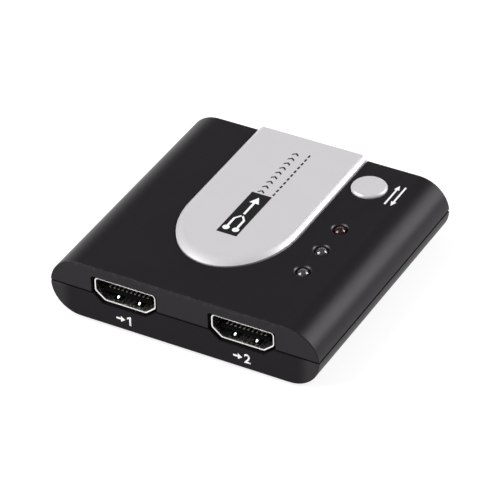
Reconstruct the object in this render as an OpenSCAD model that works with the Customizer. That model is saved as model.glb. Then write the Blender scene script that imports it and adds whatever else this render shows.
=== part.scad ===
// Two-way video switch box: a two-shell moulded case, a board that carries three receptacles,
// a select button over a tactile switch, and three indicator lamps.
// The origin is the centre of the footprint, on the surface that the feet stand on.
// X runs along the front face, Y from the front to the rear, and Z is up.

/* [Case] */
// Width of the case along the front face
case_w = 64; // [62:0.5:72]
// Depth of the case from the front face to the rear face
case_d = 60.5; // [58:0.5:70]
// Height of the two shells together
case_h = 14; // [13.8:0.1:16]
// Height of the parting line above the case's underside
parting_h = 7.5; // [7:0.1:8]
// Radius of the two upper long corners
top_corner_r = 7.3; // [6:0.1:8]
// Radius of the two lower long corners
bottom_corner_r = 7; // [6.5:0.1:9]
// Rounding of the front and rear edges
edge_r = 0.2; // [0.1:0.05:0.8]
// Wall thickness of both shells
wall = 2; // [1.8:0.05:2.2]
// Height of the shadow groove at the parting line
groove_h = 0.35; // [0.2:0.05:0.5]
// Depth of the shadow groove into the wall
groove_d = 0.6; // [0.3:0.05:0.7]
// Height of the locating lip under the upper shell
lip_h = 1; // [0.6:0.1:1.2]
// Thickness of the locating lip
lip_t = 0.8; // [0.6:0.05:0.9]
// Clearance between mating mouldings
fit_gap = 0.1; // [0.05:0.01:0.15]
// Thickness of the ribs under the board
rib_t = 1.2; // [0.8:0.1:1.6]
// Length of the ribs under the board
rib_l = 26.5; // [20:0.5:27]
// Distance of the ribs from the front and rear faces
rib_from_face = 15.1; // [14:0.1:18]

/* [Top plate] */
// Width of the top plate
plate_w = 26.5; // [22:0.5:27]
// Length of the top plate from the rear face to the tip of its nose
plate_l = 48.8; // [42:0.1:52]
// Length of the elliptical nose
nose_l = 17; // [10:0.5:20]
// Distance of the plate from the right side
plate_from_side = 20; // [19.5:0.1:22]
// Height of the plate above the case
plate_proud = 1.2; // [0.8:0.1:1.6]
// Depth of the plate's seat in the case
plate_sink = 0.5; // [0.3:0.05:0.7]
// Gap between the plate and the side of its seat
plate_gap = 0.25; // [0.1:0.01:0.3]
// Height of the plate's rounded shoulder
plate_edge_h = 0.75; // [0.3:0.05:1]
// Width of the plate's rounded shoulder along its sides
plate_edge_w = 1.15; // [0.4:0.05:1.4]
// Width of the plate's rounded shoulder at the tip of its nose
nose_edge_w = 2.8; // [1:0.1:5]
// How the shoulder's fall grows towards its rim, with 1 for a straight slope
plate_edge_power = 1.6; // [1.2:0.1:3]
// Diameter of the plate's staked pegs
peg_d = 1.6; // [1.2:0.1:2]
// Distance of the two rear pegs from the rear face
peg_from_rear = 14.5; // [13.5:0.1:17]
// Distance of the front peg from the tip of the nose
peg_from_tip = 9; // [5:0.1:12]
// Distance of the two rear pegs from the plate's sides
peg_from_side = 4; // [2:0.1:8]

/* [Select button] */
// Diameter of the button cap
button_d = 8; // [6:0.1:8.4]
// Distance of the button from the right side
button_from_side = 14.85; // [14.4:0.05:15]
// Distance of the button from the rear face
button_from_rear = 8.95; // [8.5:0.05:11]
// Height of the button above the case
button_proud = 0.6; // [0.5:0.05:1.4]
// Travel of the button
button_travel = 0.4; // [0.25:0.05:0.45]
// Rounding of the button's upper edge
button_edge_r = 0.5; // [0.2:0.05:0.55]
// Gap between the button and its hole
button_gap = 0.15; // [0.1:0.01:0.25]
// Width of the button's retaining flange
button_flange_w = 0.9; // [0.6:0.05:1]
// Thickness of the button's retaining flange
button_flange_t = 0.9; // [0.6:0.05:1.1]
// Diameter of the stem under the button
stem_d = 3; // [2:0.1:3.4]

/* [Tactile switch] */
// Side of the square switch body
tact_w = 6; // [5.8:0.1:6.2]
// Height of the moulded switch base
tact_base_h = 3.2; // [3:0.05:3.3]
// Thickness of the switch's metal cover
tact_cover_t = 0.3; // [0.2:0.05:0.4]
// Height of the plunger above the cover
plunger_proud = 0.8; // [0.6:0.05:0.9]
// Diameter of the plunger
plunger_d = 3.5; // [3:0.1:3.8]

/* [Indicator lamps] */
// Diameter of a lamp's lens
lamp_d = 3; // [2.6:0.1:3.2]
// Length of a lamp from its flange to the top of its dome
lamp_l = 5.3; // [4.6:0.1:5.6]
// Height of the dome above the case
lamp_proud = 0.25; // [0:0.05:0.8]
// Distance of the row of lamps from the right side
lamp_from_side = 13.5; // [12.4:0.05:14]
// Distance of the first lamp from the front face
lamp_from_front = 18.65; // [17.5:0.05:19]
// Distance from one lamp to the next
lamp_pitch = 8.35; // [7:0.05:8.6]
// Gap between a lamp and its hole
lamp_gap = 0.2; // [0.1:0.01:0.3]
// Chamfer round a lamp's hole
lamp_chamfer = 0.3; // [0.2:0.05:0.7]

/* [Receptacles] */
// Distance of the input receptacles' centres from the case's sides
port_from_side = 18; // [17.9:0.05:20]
// Height of the receptacles' centre line, as a share of the case's height
port_share = 0.6; // [0.59:0.005:0.625]
// Inside width of a receptacle
port_w = 14; // [13.8:0.05:14.2]
// Inside height of a receptacle
port_h = 4.55; // [4.4:0.05:4.7]
// Inside width of a receptacle's floor, between its two slanting corners
port_floor_w = 9.7; // [9.4:0.1:10.4]
// Height of a receptacle's upright sides
port_side_h = 2.75; // [2.4:0.05:3]
// Length of a receptacle's metal sleeve
port_l = 11; // [10.5:0.1:11.4]
// Sheet thickness of the metal sleeve
port_sheet = 0.35; // [0.25:0.05:0.4]
// Gap between a receptacle and the case
port_gap = 0.35; // [0.2:0.05:0.5]
// Distance of a receptacle's mouth behind the case's face
port_setback = 0.5; // [0.3:0.05:0.7]
// Width of the contact tongue
tongue_w = 11.4; // [10.8:0.1:11.8]
// Thickness of the contact tongue
tongue_t = 1.25; // [1.1:0.05:1.4]
// Distance of the tongue's tip behind the mouth
tongue_setback = 1.1; // [0.8:0.05:1.4]
// Distance of the contacts' ends behind the tongue's tip
contact_setback = 0.45; // [0.3:0.05:1.4]
// Width of one contact
contact_w = 0.4; // [0.3:0.02:0.44]

/* [Board] */
// Thickness of the circuit board
board_t = 1.6; // [1.2:0.1:1.8]
// Gap between the board's edge and the case's wall
board_gap = 0.4; // [0.2:0.05:0.6]

/* [Fasteners and feet] */
// Distance of the screws from the case's sides
screw_from_side = 7.8; // [7.6:0.05:8]
// Distance of the screws from the front and rear faces
screw_from_face = 5.05; // [5:0.05:5.4]
// Diameter of the screws
screw_d = 2.2; // [2:0.05:2.4]
// Length of the screws under the head
screw_l = 8; // [6.5:0.5:9]
// Diameter of the screw heads
head_d = 4; // [3.6:0.1:4.2]
// Height of the screw heads
head_h = 1.3; // [1:0.05:1.4]
// Depth of the screw heads under the case's surface
head_sink = 0.3; // [0.2:0.05:0.5]
// Diameter of the screw bosses
boss_d = 5; // [4.6:0.1:5.2]
// Diameter of the rubber feet
foot_d = 7; // [6:0.1:8]
// Height of the feet under the case
foot_proud = 0.8; // [0.5:0.05:1.2]
// Depth of the feet's seats
foot_sink = 0.4; // [0.2:0.05:0.6]
// Distance of the feet from the case's sides
foot_from_side = 13.5; // [13:0.1:16]
// Distance of the feet from the front and rear faces
foot_from_face = 9.25; // [8.5:0.05:12]

/* [Hidden] */
$fn = 72;

// How far a cut runs past a face, how far joined solids run into each other, and the thin gap round
// a pressed or soldered piece
past = 1;
weld = 0.01;
close_gap = 0.05;
lead_gap = 0.1;

// Steps in the fall of the plate's shoulder
shoulder_steps = 6;

// Heights, from the case's underside
upper_rise = case_h - parting_h;
ceiling_z = case_h - wall;
port_z = case_h * port_share;
port_stand = 0.125;
board_top = port_z - port_h / 2 - port_sheet - port_stand;
board_bottom = board_top - board_t;
tail_l = 0.9;
tail_end = board_bottom - tail_l;
tact_base_top = board_top + tact_base_h;
tact_top = tact_base_top + tact_cover_t;
plunger_top = tact_top + plunger_proud;
button_top = case_h + button_proud;
button_flange_bottom = ceiling_z - button_flange_t;
lamp_top = case_h + lamp_proud;
lamp_base = lamp_top - lamp_l;
head_seat = head_h + head_sink;
screw_tip = head_seat + screw_l;
pilot_past = 0.5;
plate_top = case_h + plate_proud;
plate_seat = case_h - plate_sink;

// Places
inner_face_y = case_d / 2 - wall;
screw_x = case_w / 2 - screw_from_side;
screw_y = case_d / 2 - screw_from_face;
foot_x = case_w / 2 - foot_from_side;
foot_y = case_d / 2 - foot_from_face;
rib_y = case_d / 2 - rib_from_face;
button_x = case_w / 2 - button_from_side;
button_y = case_d / 2 - button_from_rear;
lamp_x = case_w / 2 - lamp_from_side;
lamp_y = [for (i = [0:2]) -case_d / 2 + lamp_from_front + i * lamp_pitch];
port_x = case_w / 2 - port_from_side;
plate_x = case_w / 2 - plate_from_side - plate_w / 2;
pegs = [
    [plate_x, case_d / 2 - plate_l + peg_from_tip],
    [plate_x - plate_w / 2 + peg_from_side, case_d / 2 - peg_from_rear],
    [plate_x + plate_w / 2 - peg_from_side, case_d / 2 - peg_from_rear],
];
peg_head_t = 0.4;

// Small sizes of the mouldings and fasteners
boss_root = 0.5;
foot_edge_r = 0.3;
recess_l = 2.2;
recess_w = 0.5;
recess_depth = 0.7;
lamp_flange_w = 0.4;
lamp_flange_r = lamp_d / 2 + lamp_flange_w;
lamp_flange_t = 1;
lamp_socket = 0.5;
lead_w = 0.5;
lead_span = 2.54;
lead_hole_d = 0.9;

// Receptacle sizes, in a frame at the mouth's centre with +Y inwards
port_corner_r = 0.5;
tongue_top = 0.1;
tongue_bottom = tongue_top - tongue_t;
tongue_nose = 0.5;
tongue_nose_rise = 0.35;
block_start = 7.4;
block_setback = 0.4;
block_end = port_l - block_setback;
contact_pitch = 1;
contact_t = 0.15;
contact_proud = 0.05;
contact_counts = [10, 9];
tail_offsets = [0.9, 0.2];
contact_backs = [for (t = tail_offsets) block_end + t];
pad_l = 0.9;
tail_window = 0.3;
tail_window_rise = 1.1;
finger_x = 2.55;
finger_w = 1.5;
finger_root = 7;
finger_hold = 0.4;
finger_bump = [1.8, 2.5];
finger_tip = 1.3;
finger_dip = 0.55;
finger_tip_dip = 0.1;
finger_slot = 0.3;
leg_w = 1;
leg_y = [4.2, 9];
leg_lap = 0.4;
PORTS = [[-port_x, -1], [port_x, -1], [0, 1]];

// Plunger and snap dome
plunger_flange_w = 0.6;
plunger_flange_r = plunger_d / 2 + plunger_flange_w;
plunger_flange_t = 0.6;
nub_d = 1.4;
nub_l = 0.4;
dome_t = 0.1;
dome_gap = 0.02;
dome_spare = 0.1;
dome_rise = button_travel + dome_spare;
dome_r = plunger_flange_r;
cavity_gap = 0.15;
cavity_r = plunger_flange_r + cavity_gap;
nub_bottom = tact_base_top - plunger_flange_t - nub_l;
cavity_floor = nub_bottom - dome_gap - dome_rise;
terminal_w = 0.7;
terminal_t = 0.3;
terminal_pitch = 4.5;
terminal_rise = 1.2;

// Chips and small parts on the board
chip_stand = 0.1;
chip_draft = 0.15;
dimple_d = 0.8;
dimple_in = 1;
lead_t = 0.15;
lead_shoulder = 0.35;
switch_chip_size = [10, 10, 1.4];
switch_chip_at = [-3, 1];
switch_chip_pins = 16;
switch_chip_pitch = 0.5;
switch_chip_lead = [0.22, 1];
memory_chip_size = [3.9, 4.9, 1.5];
memory_chip_from_side = 13;
memory_chip_at = [memory_chip_from_side - case_w / 2, -9];
memory_chip_pins = 4;
memory_chip_pitch = 1.27;
memory_chip_lead = [0.42, 1];
regulator_size = [3.5, 6.5, 1.6];
regulator_from_side = 14;
regulator_at = [regulator_from_side - case_w / 2, 12];
regulator_pins = 3;
regulator_pitch = 2.3;
regulator_lead = [0.7, 1.7];
regulator_tab = [3, 1.7];
can_from_side = 13;
can_at = [can_from_side - case_w / 2, 2.5];
can_d = 5;
can_h = 5.2;
can_base_w = 5.3;
can_base_h = 1;
can_bead = [1.5, 1.9];
can_bead_depth = 0.25;
ceramic_size = [2, 1.25, 0.9];
ceramic_pitch = 4;
ceramic_offset = 9;
resistor_size = [1.6, 0.8, 0.5];
resistor_pitch = 1.9;
resistor_count = 4;
resistor_rows = [-12, 6];
resistor_row_y = -12;
lamp_resistor_offset = 5;

// How far a corner of radius r runs in from the side, where it rises h from the parting line
function corner_run(r, h) = r > h ? sqrt(r * r - (r - h) * (r - h)) : r;
top_centre_x = case_w / 2 - corner_run(top_corner_r, upper_rise);
bottom_centre_x = case_w / 2 - corner_run(bottom_corner_r, parting_h);

// Half width of the lower shell's cavity at a height from the underside
function cavity_half_w(z) =
    bottom_centre_x
    + sqrt(pow(bottom_corner_r - wall, 2) - pow(max(bottom_corner_r - z, 0), 2));
board_half_w = cavity_half_w(board_bottom) - board_gap;
board_half_d = inner_face_y - board_gap;

// A polygon's corners turned into arcs of radius r, with n steps each
function unit(v) = v / norm(v);
function turned(v, t) = [v[0] * cos(t) - v[1] * sin(t), v[0] * sin(t) + v[1] * cos(t)];
function round_corner(a, b, c, r, n) =
    let (
        u = unit(a - b),
        v = unit(c - b),
        half = acos(u * v) / 2,
        centre = b + unit(u + v) * r / sin(half),
        first = b + u * r / tan(half) - centre,
        way = u[0] * v[1] - u[1] * v[0] > 0 ? -1 : 1
    )
    [for (i = [0:n]) centre + turned(first, way * (180 - 2 * half) * i / n)];
function rounded(points, r, n = 5) =
    let (m = len(points))
    [for (i = [0:m - 1])
        each round_corner(points[(i + m - 1) % m], points[i], points[(i + 1) % m], r, n)];

// The receptacle's keyed outline, grown outwards by g
function port_points(g) =
    let (
        half_w = port_w / 2,
        half_h = port_h / 2,
        side_end = half_h - port_side_h,
        slant = unit([half_w - port_floor_w / 2, side_end + half_h]),
        across = half_w * slant[1] - side_end * slant[0] + g,
        low_x = (across + (-half_h - g) * slant[0]) / slant[1],
        side_z = ((half_w + g) * slant[1] - across) / slant[0]
    )
    [
        [half_w + g, half_h + g], [-half_w - g, half_h + g], [-half_w - g, side_z],
        [-low_x, -half_h - g], [low_x, -half_h - g], [half_w + g, side_z],
    ];

// The top plate's outline, taken in along its sides and at its nose, run out past the rear face
function plate_points(side, tip) =
    let (nose_y = case_d / 2 - plate_l + nose_l, rear = case_d / 2 + past)
    concat(
        [[plate_x + plate_w / 2 - side, rear], [plate_x - plate_w / 2 + side, rear]],
        [for (t = [180:5:360])
            [plate_x + (plate_w / 2 - side) * cos(t), nose_y + (nose_l - tip) * sin(t)]]
    );

// Sweeps of a flat shape between two planes, and the places that pieces share
module along_y(from, to) translate([0, to, 0]) rotate([90, 0, 0]) linear_extrude(to - from) children();
module along_x(from, to) translate([from, 0, 0]) rotate([90, 0, 90]) linear_extrude(to - from) children();
module between(from, to) translate([0, 0, from]) linear_extrude(to - from) children();
module on_feet() translate([0, 0, foot_proud]) children();
module at_corners(x, y) for (sx = [-1, 1], sy = [-1, 1]) translate([sx * x, sy * y, 0]) children();
module at_tact() on_feet() translate([button_x, button_y, 0]) children();
module on_board(at) on_feet() translate([at[0], at[1], board_top]) children();
module at_port(i)
    translate([PORTS[i][0], PORTS[i][1] * (case_d / 2 - port_setback), port_z])
        rotate([0, 0, PORTS[i][1] > 0 ? 180 : 0]) children();

// The case's cross-section above and below the parting line, taken in from the outside by an inset
module upper_section(inset) {
    intersection() {
        union() {
            translate([-top_centre_x, 0]) square([2 * top_centre_x, case_h - inset]);
            for (s = [-1, 1])
                translate([s * top_centre_x, case_h - top_corner_r]) circle(top_corner_r - inset);
            if (top_corner_r < upper_rise)
                translate([-case_w / 2 + inset, 0])
                    square([case_w - 2 * inset, case_h - top_corner_r]);
        }
        translate([-case_w, parting_h]) square([2 * case_w, upper_rise]);
    }
}

module lower_section(inset) {
    intersection() {
        union() {
            translate([-bottom_centre_x, inset]) square([2 * bottom_centre_x, case_h]);
            for (s = [-1, 1])
                translate([s * bottom_centre_x, bottom_corner_r]) circle(bottom_corner_r - inset);
            if (bottom_corner_r < parting_h)
                translate([-case_w / 2 + inset, bottom_corner_r])
                    square([case_w - 2 * inset, case_h]);
        }
        translate([-case_w, 0]) square([2 * case_w, parting_h]);
    }
}

// A rectangle with round corners, from its own lower left corner
module rounded_rectangle(w, h, r) {
    translate([r, 0]) square([w - 2 * r, h]);
    translate([0, r]) square([w, h - 2 * r]);
    for (x = [r, w - r], y = [r, h - r]) translate([x, y]) circle(r);
}

// Softens the front and rear edges, seen from above and from the side
module edge_envelope() {
    intersection() {
        between(-past, case_h + past)
            translate([-case_w / 2, -case_d / 2]) rounded_rectangle(case_w, case_d, edge_r);
        along_x(-case_w, case_w)
            translate([-case_d / 2, 0]) rounded_rectangle(case_d, case_h, edge_r);
    }
}

// A frame that follows the parting line, between two insets from the outside
module parting_frame(outer, inner, low, high) {
    difference() {
        between(low, high) square([case_w - 2 * outer, case_d - 2 * outer], center = true);
        between(low - past, high + past)
            square([case_w - 2 * inner, case_d - 2 * inner], center = true);
    }
}

// Openings in the case's walls for the three receptacles
module port_openings() {
    for (i = [0:2])
        at_port(i)
            along_y(-port_setback - past, wall - port_setback + weld)
                polygon(rounded(port_points(port_sheet + port_gap), port_corner_r));
}

module upper_shell() color("#29282a") on_feet() {
    difference() {
        union() {
            difference() {
                intersection() {
                    along_y(-case_d / 2, case_d / 2) upper_section(0);
                    edge_envelope();
                }
                along_y(-inner_face_y, inner_face_y) upper_section(wall);
            }
            parting_frame(wall - lip_t, wall, parting_h - lip_h, parting_h + weld);
            at_corners(screw_x, screw_y) between(board_top, ceiling_z + boss_root) circle(d = boss_d);
        }
        port_openings();
        at_corners(screw_x, screw_y)
            between(board_top - past, screw_tip + pilot_past) circle(d = screw_d + 2 * close_gap);
        between(plate_seat, case_h + past) polygon(plate_points(-plate_gap, -plate_gap));
        for (p = pegs)
            translate(p) between(ceiling_z - past, case_h) circle(d = peg_d + 2 * close_gap);
        translate([button_x, button_y])
            between(ceiling_z - past, case_h + past) circle(d = button_d + 2 * button_gap);
        for (y = lamp_y) translate([lamp_x, y]) lamp_hole();
    }
}

// A lamp's hole, with a chamfer that runs on past the surface
module lamp_hole() {
    r = lamp_d / 2 + lamp_gap;
    between(ceiling_z - past, case_h + past) circle(r);
    translate([0, 0, case_h - lamp_chamfer])
        cylinder(r1 = r, r2 = r + 2 * lamp_chamfer, h = 2 * lamp_chamfer);
}

module lower_shell() color("#29282a") on_feet() {
    difference() {
        union() {
            difference() {
                intersection() {
                    along_y(-case_d / 2, case_d / 2) lower_section(0);
                    edge_envelope();
                }
                along_y(-inner_face_y, inner_face_y) lower_section(wall);
            }
            at_corners(screw_x, screw_y) between(wall - boss_root, board_bottom) circle(d = boss_d);
            for (s = [-1, 1])
                translate([0, s * rib_y, 0])
                    between(wall - boss_root, board_bottom) square([rib_l, rib_t], center = true);
        }
        port_openings();
        parting_frame(-past, groove_d, parting_h - groove_h, parting_h + past);
        parting_frame(wall - lip_t - fit_gap, wall + past, parting_h - lip_h - fit_gap, parting_h + past);
        at_corners(screw_x, screw_y) {
            between(-past, head_seat) circle(d = head_d + 4 * fit_gap);
            between(0, board_bottom + past) circle(d = screw_d + 4 * fit_gap);
        }
        at_corners(foot_x, foot_y) between(-past, foot_sink) circle(d = foot_d + 2 * fit_gap);
    }
}

// The silver plate on the top: a rounded shoulder, an elliptical nose and three staked pegs
module top_plate() color("#cfced0") on_feet() {
    intersection() {
        hull() {
            for (i = [0:shoulder_steps])
                let (run = i / shoulder_steps, z = plate_top - plate_edge_h * pow(1 - run, plate_edge_power))
                between(plate_seat, z) polygon(plate_points(plate_edge_w * run, nose_edge_w * run));
        }
        translate([-case_w / 2, -case_d / 2, 0]) cube([case_w, case_d, 2 * case_h]);
    }
    for (p = pegs) translate(p) between(ceiling_z - peg_head_t, plate_seat + weld) circle(d = peg_d);
}

// The button cap, its retaining flange under the ceiling, and the stem that meets the plunger
module select_button() color("#cfced0") at_tact() {
    r = button_d / 2;
    rim_r = r - button_edge_r;
    rim_z = button_top - button_edge_r;
    rotate_extrude() {
        translate([0, button_flange_bottom]) square([r, rim_z - button_flange_bottom]);
        translate([0, rim_z]) square([rim_r, button_edge_r]);
        translate([rim_r, rim_z]) intersection() {
            circle(button_edge_r);
            square(button_edge_r);
        }
    }
    between(button_flange_bottom, ceiling_z) circle(r + button_flange_w);
    between(plunger_top, ceiling_z) circle(d = stem_d);
}

// Four pan-head screws from below, through the board and into the upper bosses
module case_screws() color("#8a8c90") on_feet() at_corners(screw_x, screw_y) {
    difference() {
        union() {
            between(head_sink, head_seat) circle(d = head_d);
            between(head_seat, screw_tip) circle(d = screw_d);
        }
        between(head_sink - past, head_sink + recess_depth) {
            square([recess_l, recess_w], center = true);
            square([recess_w, recess_l], center = true);
        }
    }
}

module rubber_feet() color("#1d1d1e") at_corners(foot_x, foot_y) {
    rotate_extrude() {
        square([foot_d / 2 - foot_edge_r, foot_proud + foot_sink]);
        translate([0, foot_edge_r]) square([foot_d / 2, foot_proud + foot_sink - foot_edge_r]);
        translate([foot_d / 2 - foot_edge_r, foot_edge_r]) circle(foot_edge_r);
    }
}

module circuit_board() color("#1e5a36") on_feet() {
    difference() {
        between(board_bottom, board_top) square(2 * [board_half_w, board_half_d], center = true);
        at_corners(screw_x, screw_y) between(0, case_h) circle(d = screw_d + 4 * fit_gap);
        for (i = [0:2])
            at_port(i)
                for (s = [-1, 1], y = leg_y)
                    translate([s * (port_w + port_sheet) / 2, y, 0])
                        cube([port_sheet + 2 * lead_gap, leg_w + 2 * lead_gap, 2 * case_h], center = true);
        for (y = lamp_y, s = [-1, 1])
            translate([lamp_x + s * lead_span / 2, y]) between(0, case_h) circle(d = lead_hole_d);
        translate([button_x, button_y])
            at_corners((tact_w + terminal_t) / 2, terminal_pitch / 2)
                between(0, case_h)
                    square([terminal_t + 2 * lead_gap, terminal_w + 2 * lead_gap], center = true);
    }
}

// One lamp: a flanged cylinder with a domed top, and two sockets for its leads
module lamp_lens(i) on_feet() translate([lamp_x, lamp_y[i], 0]) {
    r = lamp_d / 2;
    difference() {
        union() {
            between(lamp_base, lamp_top - r) circle(r);
            between(lamp_base, lamp_base + lamp_flange_t) circle(lamp_flange_r);
            translate([0, 0, lamp_top - r]) intersection() {
                sphere(r);
                cylinder(r = r + past, h = r + past);
            }
        }
        for (s = [-1, 1])
            translate([s * lead_span / 2, 0])
                between(lamp_base - past, lamp_base + lamp_socket)
                    square(lead_w + close_gap, center = true);
    }
}
module power_lamp() color("#5a1420") lamp_lens(2);
module input_2_lamp() color("#c9cdd2", 0.8) lamp_lens(1);
module input_1_lamp() color("#c9cdd2", 0.8) lamp_lens(0);

module lamp_leads() color("#b9bbbf") on_feet()
    for (y = lamp_y, s = [-1, 1])
        translate([lamp_x + s * lead_span / 2, y])
            between(tail_end, lamp_base + lamp_socket) square(lead_w, center = true);

// A receptacle's bent metal sleeve, with two spring fingers in its floor, two in its roof,
// four legs through the board, and a window at the rear for the contacts' tails
module receptacle_sleeve() color("#c7c9cc") {
    slot = [finger_w + 2 * finger_slot, finger_root - finger_tip + finger_slot, 2 * port_h];
    difference() {
        along_y(0, port_l) polygon(rounded(port_points(port_sheet), port_corner_r + port_sheet));
        along_y(-past, port_l + past) polygon(rounded(port_points(0), port_corner_r));
        for (s = [-1, 1])
            translate([s * finger_x - slot[0] / 2, finger_root - slot[1], -port_h]) cube(slot);
        translate([-port_floor_w / 2, block_end - tail_window, -2 * port_h])
            cube([port_floor_w, port_l, 1.5 * port_h + tail_window_rise]);
    }
    for (s = [-1, 1], flip = [0, 1])
        translate([s * finger_x, 0, 0]) mirror([0, 0, flip]) spring_finger();
    for (s = [-1, 1], y = leg_y)
        translate([s * (port_w + port_sheet) / 2 - port_sheet / 2, y - leg_w / 2, tail_end - port_z])
            cube([port_sheet, leg_w, port_z - tail_end + port_h / 2 - port_side_h + leg_lap]);
}

// A cantilever that leaves the floor at its root, dips inwards and curls back at its tip
module spring_finger() {
    path = [
        [finger_root + finger_hold, 0], [finger_root, 0], [finger_bump[1], finger_dip],
        [finger_bump[0], finger_dip], [finger_tip, finger_tip_dip],
    ];
    low = -port_h / 2 - port_sheet;
    high = -port_h / 2;
    along_x(-finger_w / 2, finger_w / 2)
        polygon(concat(
            [for (p = path) [p[0], low + p[1]]],
            [for (i = [len(path) - 1:-1:0]) [path[i][0], high + path[i][1]]]
        ));
}

// The moulded block at the back of a receptacle, and the tongue that carries the contacts
module receptacle_insulator() color("#1a1a1b") {
    tip = tongue_setback;
    difference() {
        union() {
            along_y(block_start, block_end) polygon(rounded(port_points(-close_gap), port_corner_r));
            along_x(-tongue_w / 2, tongue_w / 2)
                polygon([
                    [block_start + weld, tongue_bottom], [block_start + weld, tongue_top],
                    [tip + tongue_nose, tongue_top], [tip, tongue_top - tongue_nose_rise],
                    [tip, tongue_bottom + tongue_nose_rise], [tip + tongue_nose, tongue_bottom],
                ]);
        }
        contact_rows(close_gap / 2);
    }
}

// Two rows of contacts, grown by g: strips on the tongue, through the block and down to the board
module contact_rows(g) {
    pad = board_top - port_z;
    start = tongue_setback + contact_setback - g;
    highs = [tongue_top + contact_proud, tongue_bottom + contact_t - contact_proud];
    for (row = [0, 1], i = [0:contact_counts[row] - 1])
        let (
            high = highs[row] + g,
            low = highs[row] - contact_t - g,
            back = contact_backs[row] - g,
            front = contact_backs[row] + contact_t + g,
            end = contact_backs[row] + pad_l + g
        )
        translate([(i - (contact_counts[row] - 1) / 2) * contact_pitch, 0, 0])
            along_x(-contact_w / 2 - g, contact_w / 2 + g)
                polygon([
                    [start, low], [start, high], [front, high], [front, pad + contact_t + g],
                    [end, pad + contact_t + g], [end, pad], [back, pad], [back, low],
                ]);
}
module receptacle_contacts() color("#d8b24a") contact_rows(0);

module input_1_sleeve() on_feet() at_port(0) receptacle_sleeve();
module input_1_insulator() on_feet() at_port(0) receptacle_insulator();
module input_1_contacts() on_feet() at_port(0) receptacle_contacts();
module input_2_sleeve() on_feet() at_port(1) receptacle_sleeve();
module input_2_insulator() on_feet() at_port(1) receptacle_insulator();
module input_2_contacts() on_feet() at_port(1) receptacle_contacts();
module output_sleeve() on_feet() at_port(2) receptacle_sleeve();
module output_insulator() on_feet() at_port(2) receptacle_insulator();
module output_contacts() on_feet() at_port(2) receptacle_contacts();

module tact_base() color("#1c1c1d") at_tact() {
    difference() {
        between(board_top, tact_base_top) square(tact_w, center = true);
        between(cavity_floor, case_h) circle(cavity_r);
    }
}

module tact_cover() color("#c2c4c7") at_tact() {
    difference() {
        between(tact_base_top, tact_top) square(tact_w, center = true);
        between(0, case_h) circle(d = plunger_d + 2 * fit_gap);
    }
}

module tact_plunger() color("#242425") at_tact() {
    between(tact_base_top - plunger_flange_t, plunger_top) circle(d = plunger_d);
    between(tact_base_top - plunger_flange_t, tact_base_top) circle(plunger_flange_r);
    between(nub_bottom, tact_base_top) circle(d = nub_d);
}

// The snap dome: a thin cap of a sphere, standing on the cavity's floor
module tact_dome() color("#c9b98a") at_tact() {
    sphere_r = (dome_r * dome_r + dome_rise * dome_rise) / (2 * dome_rise);
    translate([0, 0, cavity_floor]) rotate_extrude() intersection() {
        translate([0, dome_rise - sphere_r]) difference() {
            circle(sphere_r, $fn = 360);
            circle(sphere_r - dome_t, $fn = 360);
        }
        square([dome_r + past, dome_rise + past]);
    }
}

module tact_terminals() color("#b9bbbf") at_tact()
    at_corners((tact_w + terminal_t) / 2, terminal_pitch / 2)
        between(tail_end, board_top + terminal_rise) square([terminal_t, terminal_w], center = true);

// A moulded chip body, widest at half its height, with a dimple at its first lead
module chip_body(size) {
    difference() {
        translate([0, 0, chip_stand]) intersection() {
            along_x(-size[0] / 2, size[0] / 2) chip_section(size[1], size[2]);
            along_y(-size[1] / 2, size[1] / 2) chip_section(size[0], size[2]);
        }
        translate([dimple_in - size[0] / 2, dimple_in - size[1] / 2, size[2]])
            cylinder(d = dimple_d, h = past);
    }
}
module chip_section(w, h) {
    half = [w / 2, w / 2 - chip_draft];
    polygon([
        [-half[1], 0], [-half[0], h / 2], [-half[1], h], [half[1], h], [half[0], h / 2], [half[1], 0],
    ]);
}

// One gull-wing lead of a given width and reach, from the side of a chip out to its pad
module gull_lead(size, lead) {
    w = lead[0];
    reach = lead[1];
    x = size[0] / 2;
    knee = x + lead_shoulder;
    high = chip_stand + size[2] / 2 + lead_t / 2;
    along_y(-w / 2, w / 2)
        polygon([
            [x, high], [knee, high], [knee + lead_t, high - lead_t], [knee + lead_t, lead_t],
            [x + reach, lead_t], [x + reach, 0], [knee, 0], [knee, high - lead_t], [x, high - lead_t],
        ]);
}

module gull_row(size, count, pitch, lead)
    for (i = [0:count - 1])
        translate([0, (i - (count - 1) / 2) * pitch, 0]) gull_lead(size, lead);

module switch_chip() color("#202022") on_board(switch_chip_at) chip_body(switch_chip_size);
module switch_chip_leads() color("#b9bbbf") on_board(switch_chip_at)
    for (a = [0:90:270])
        rotate([0, 0, a])
            gull_row(switch_chip_size, switch_chip_pins, switch_chip_pitch, switch_chip_lead);

module memory_chip() color("#202022") on_board(memory_chip_at) chip_body(memory_chip_size);
module memory_chip_leads() color("#b9bbbf") on_board(memory_chip_at)
    for (a = [0, 180])
        rotate([0, 0, a])
            gull_row(memory_chip_size, memory_chip_pins, memory_chip_pitch, memory_chip_lead);

module regulator() color("#202022") on_board(regulator_at) chip_body(regulator_size);
module regulator_leads() color("#b9bbbf") on_board(regulator_at) {
    gull_row(regulator_size, regulator_pins, regulator_pitch, regulator_lead);
    rotate([0, 0, 180]) gull_lead(regulator_size, regulator_tab);
}

// A surface-mount aluminium can with a rolled bead, on a square foot
module bulk_capacitor() color("#b4b6ba") on_board(can_at) {
    between(0, can_base_h) square(can_base_w, center = true);
    difference() {
        between(0, can_h) circle(d = can_d);
        between(can_bead[0], can_bead[1]) difference() {
            circle(d = can_d + past);
            circle(d = can_d - 2 * can_bead_depth);
        }
    }
}

module chip_block(size) translate([-size[0] / 2, -size[1] / 2, 0]) cube(size);

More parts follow.
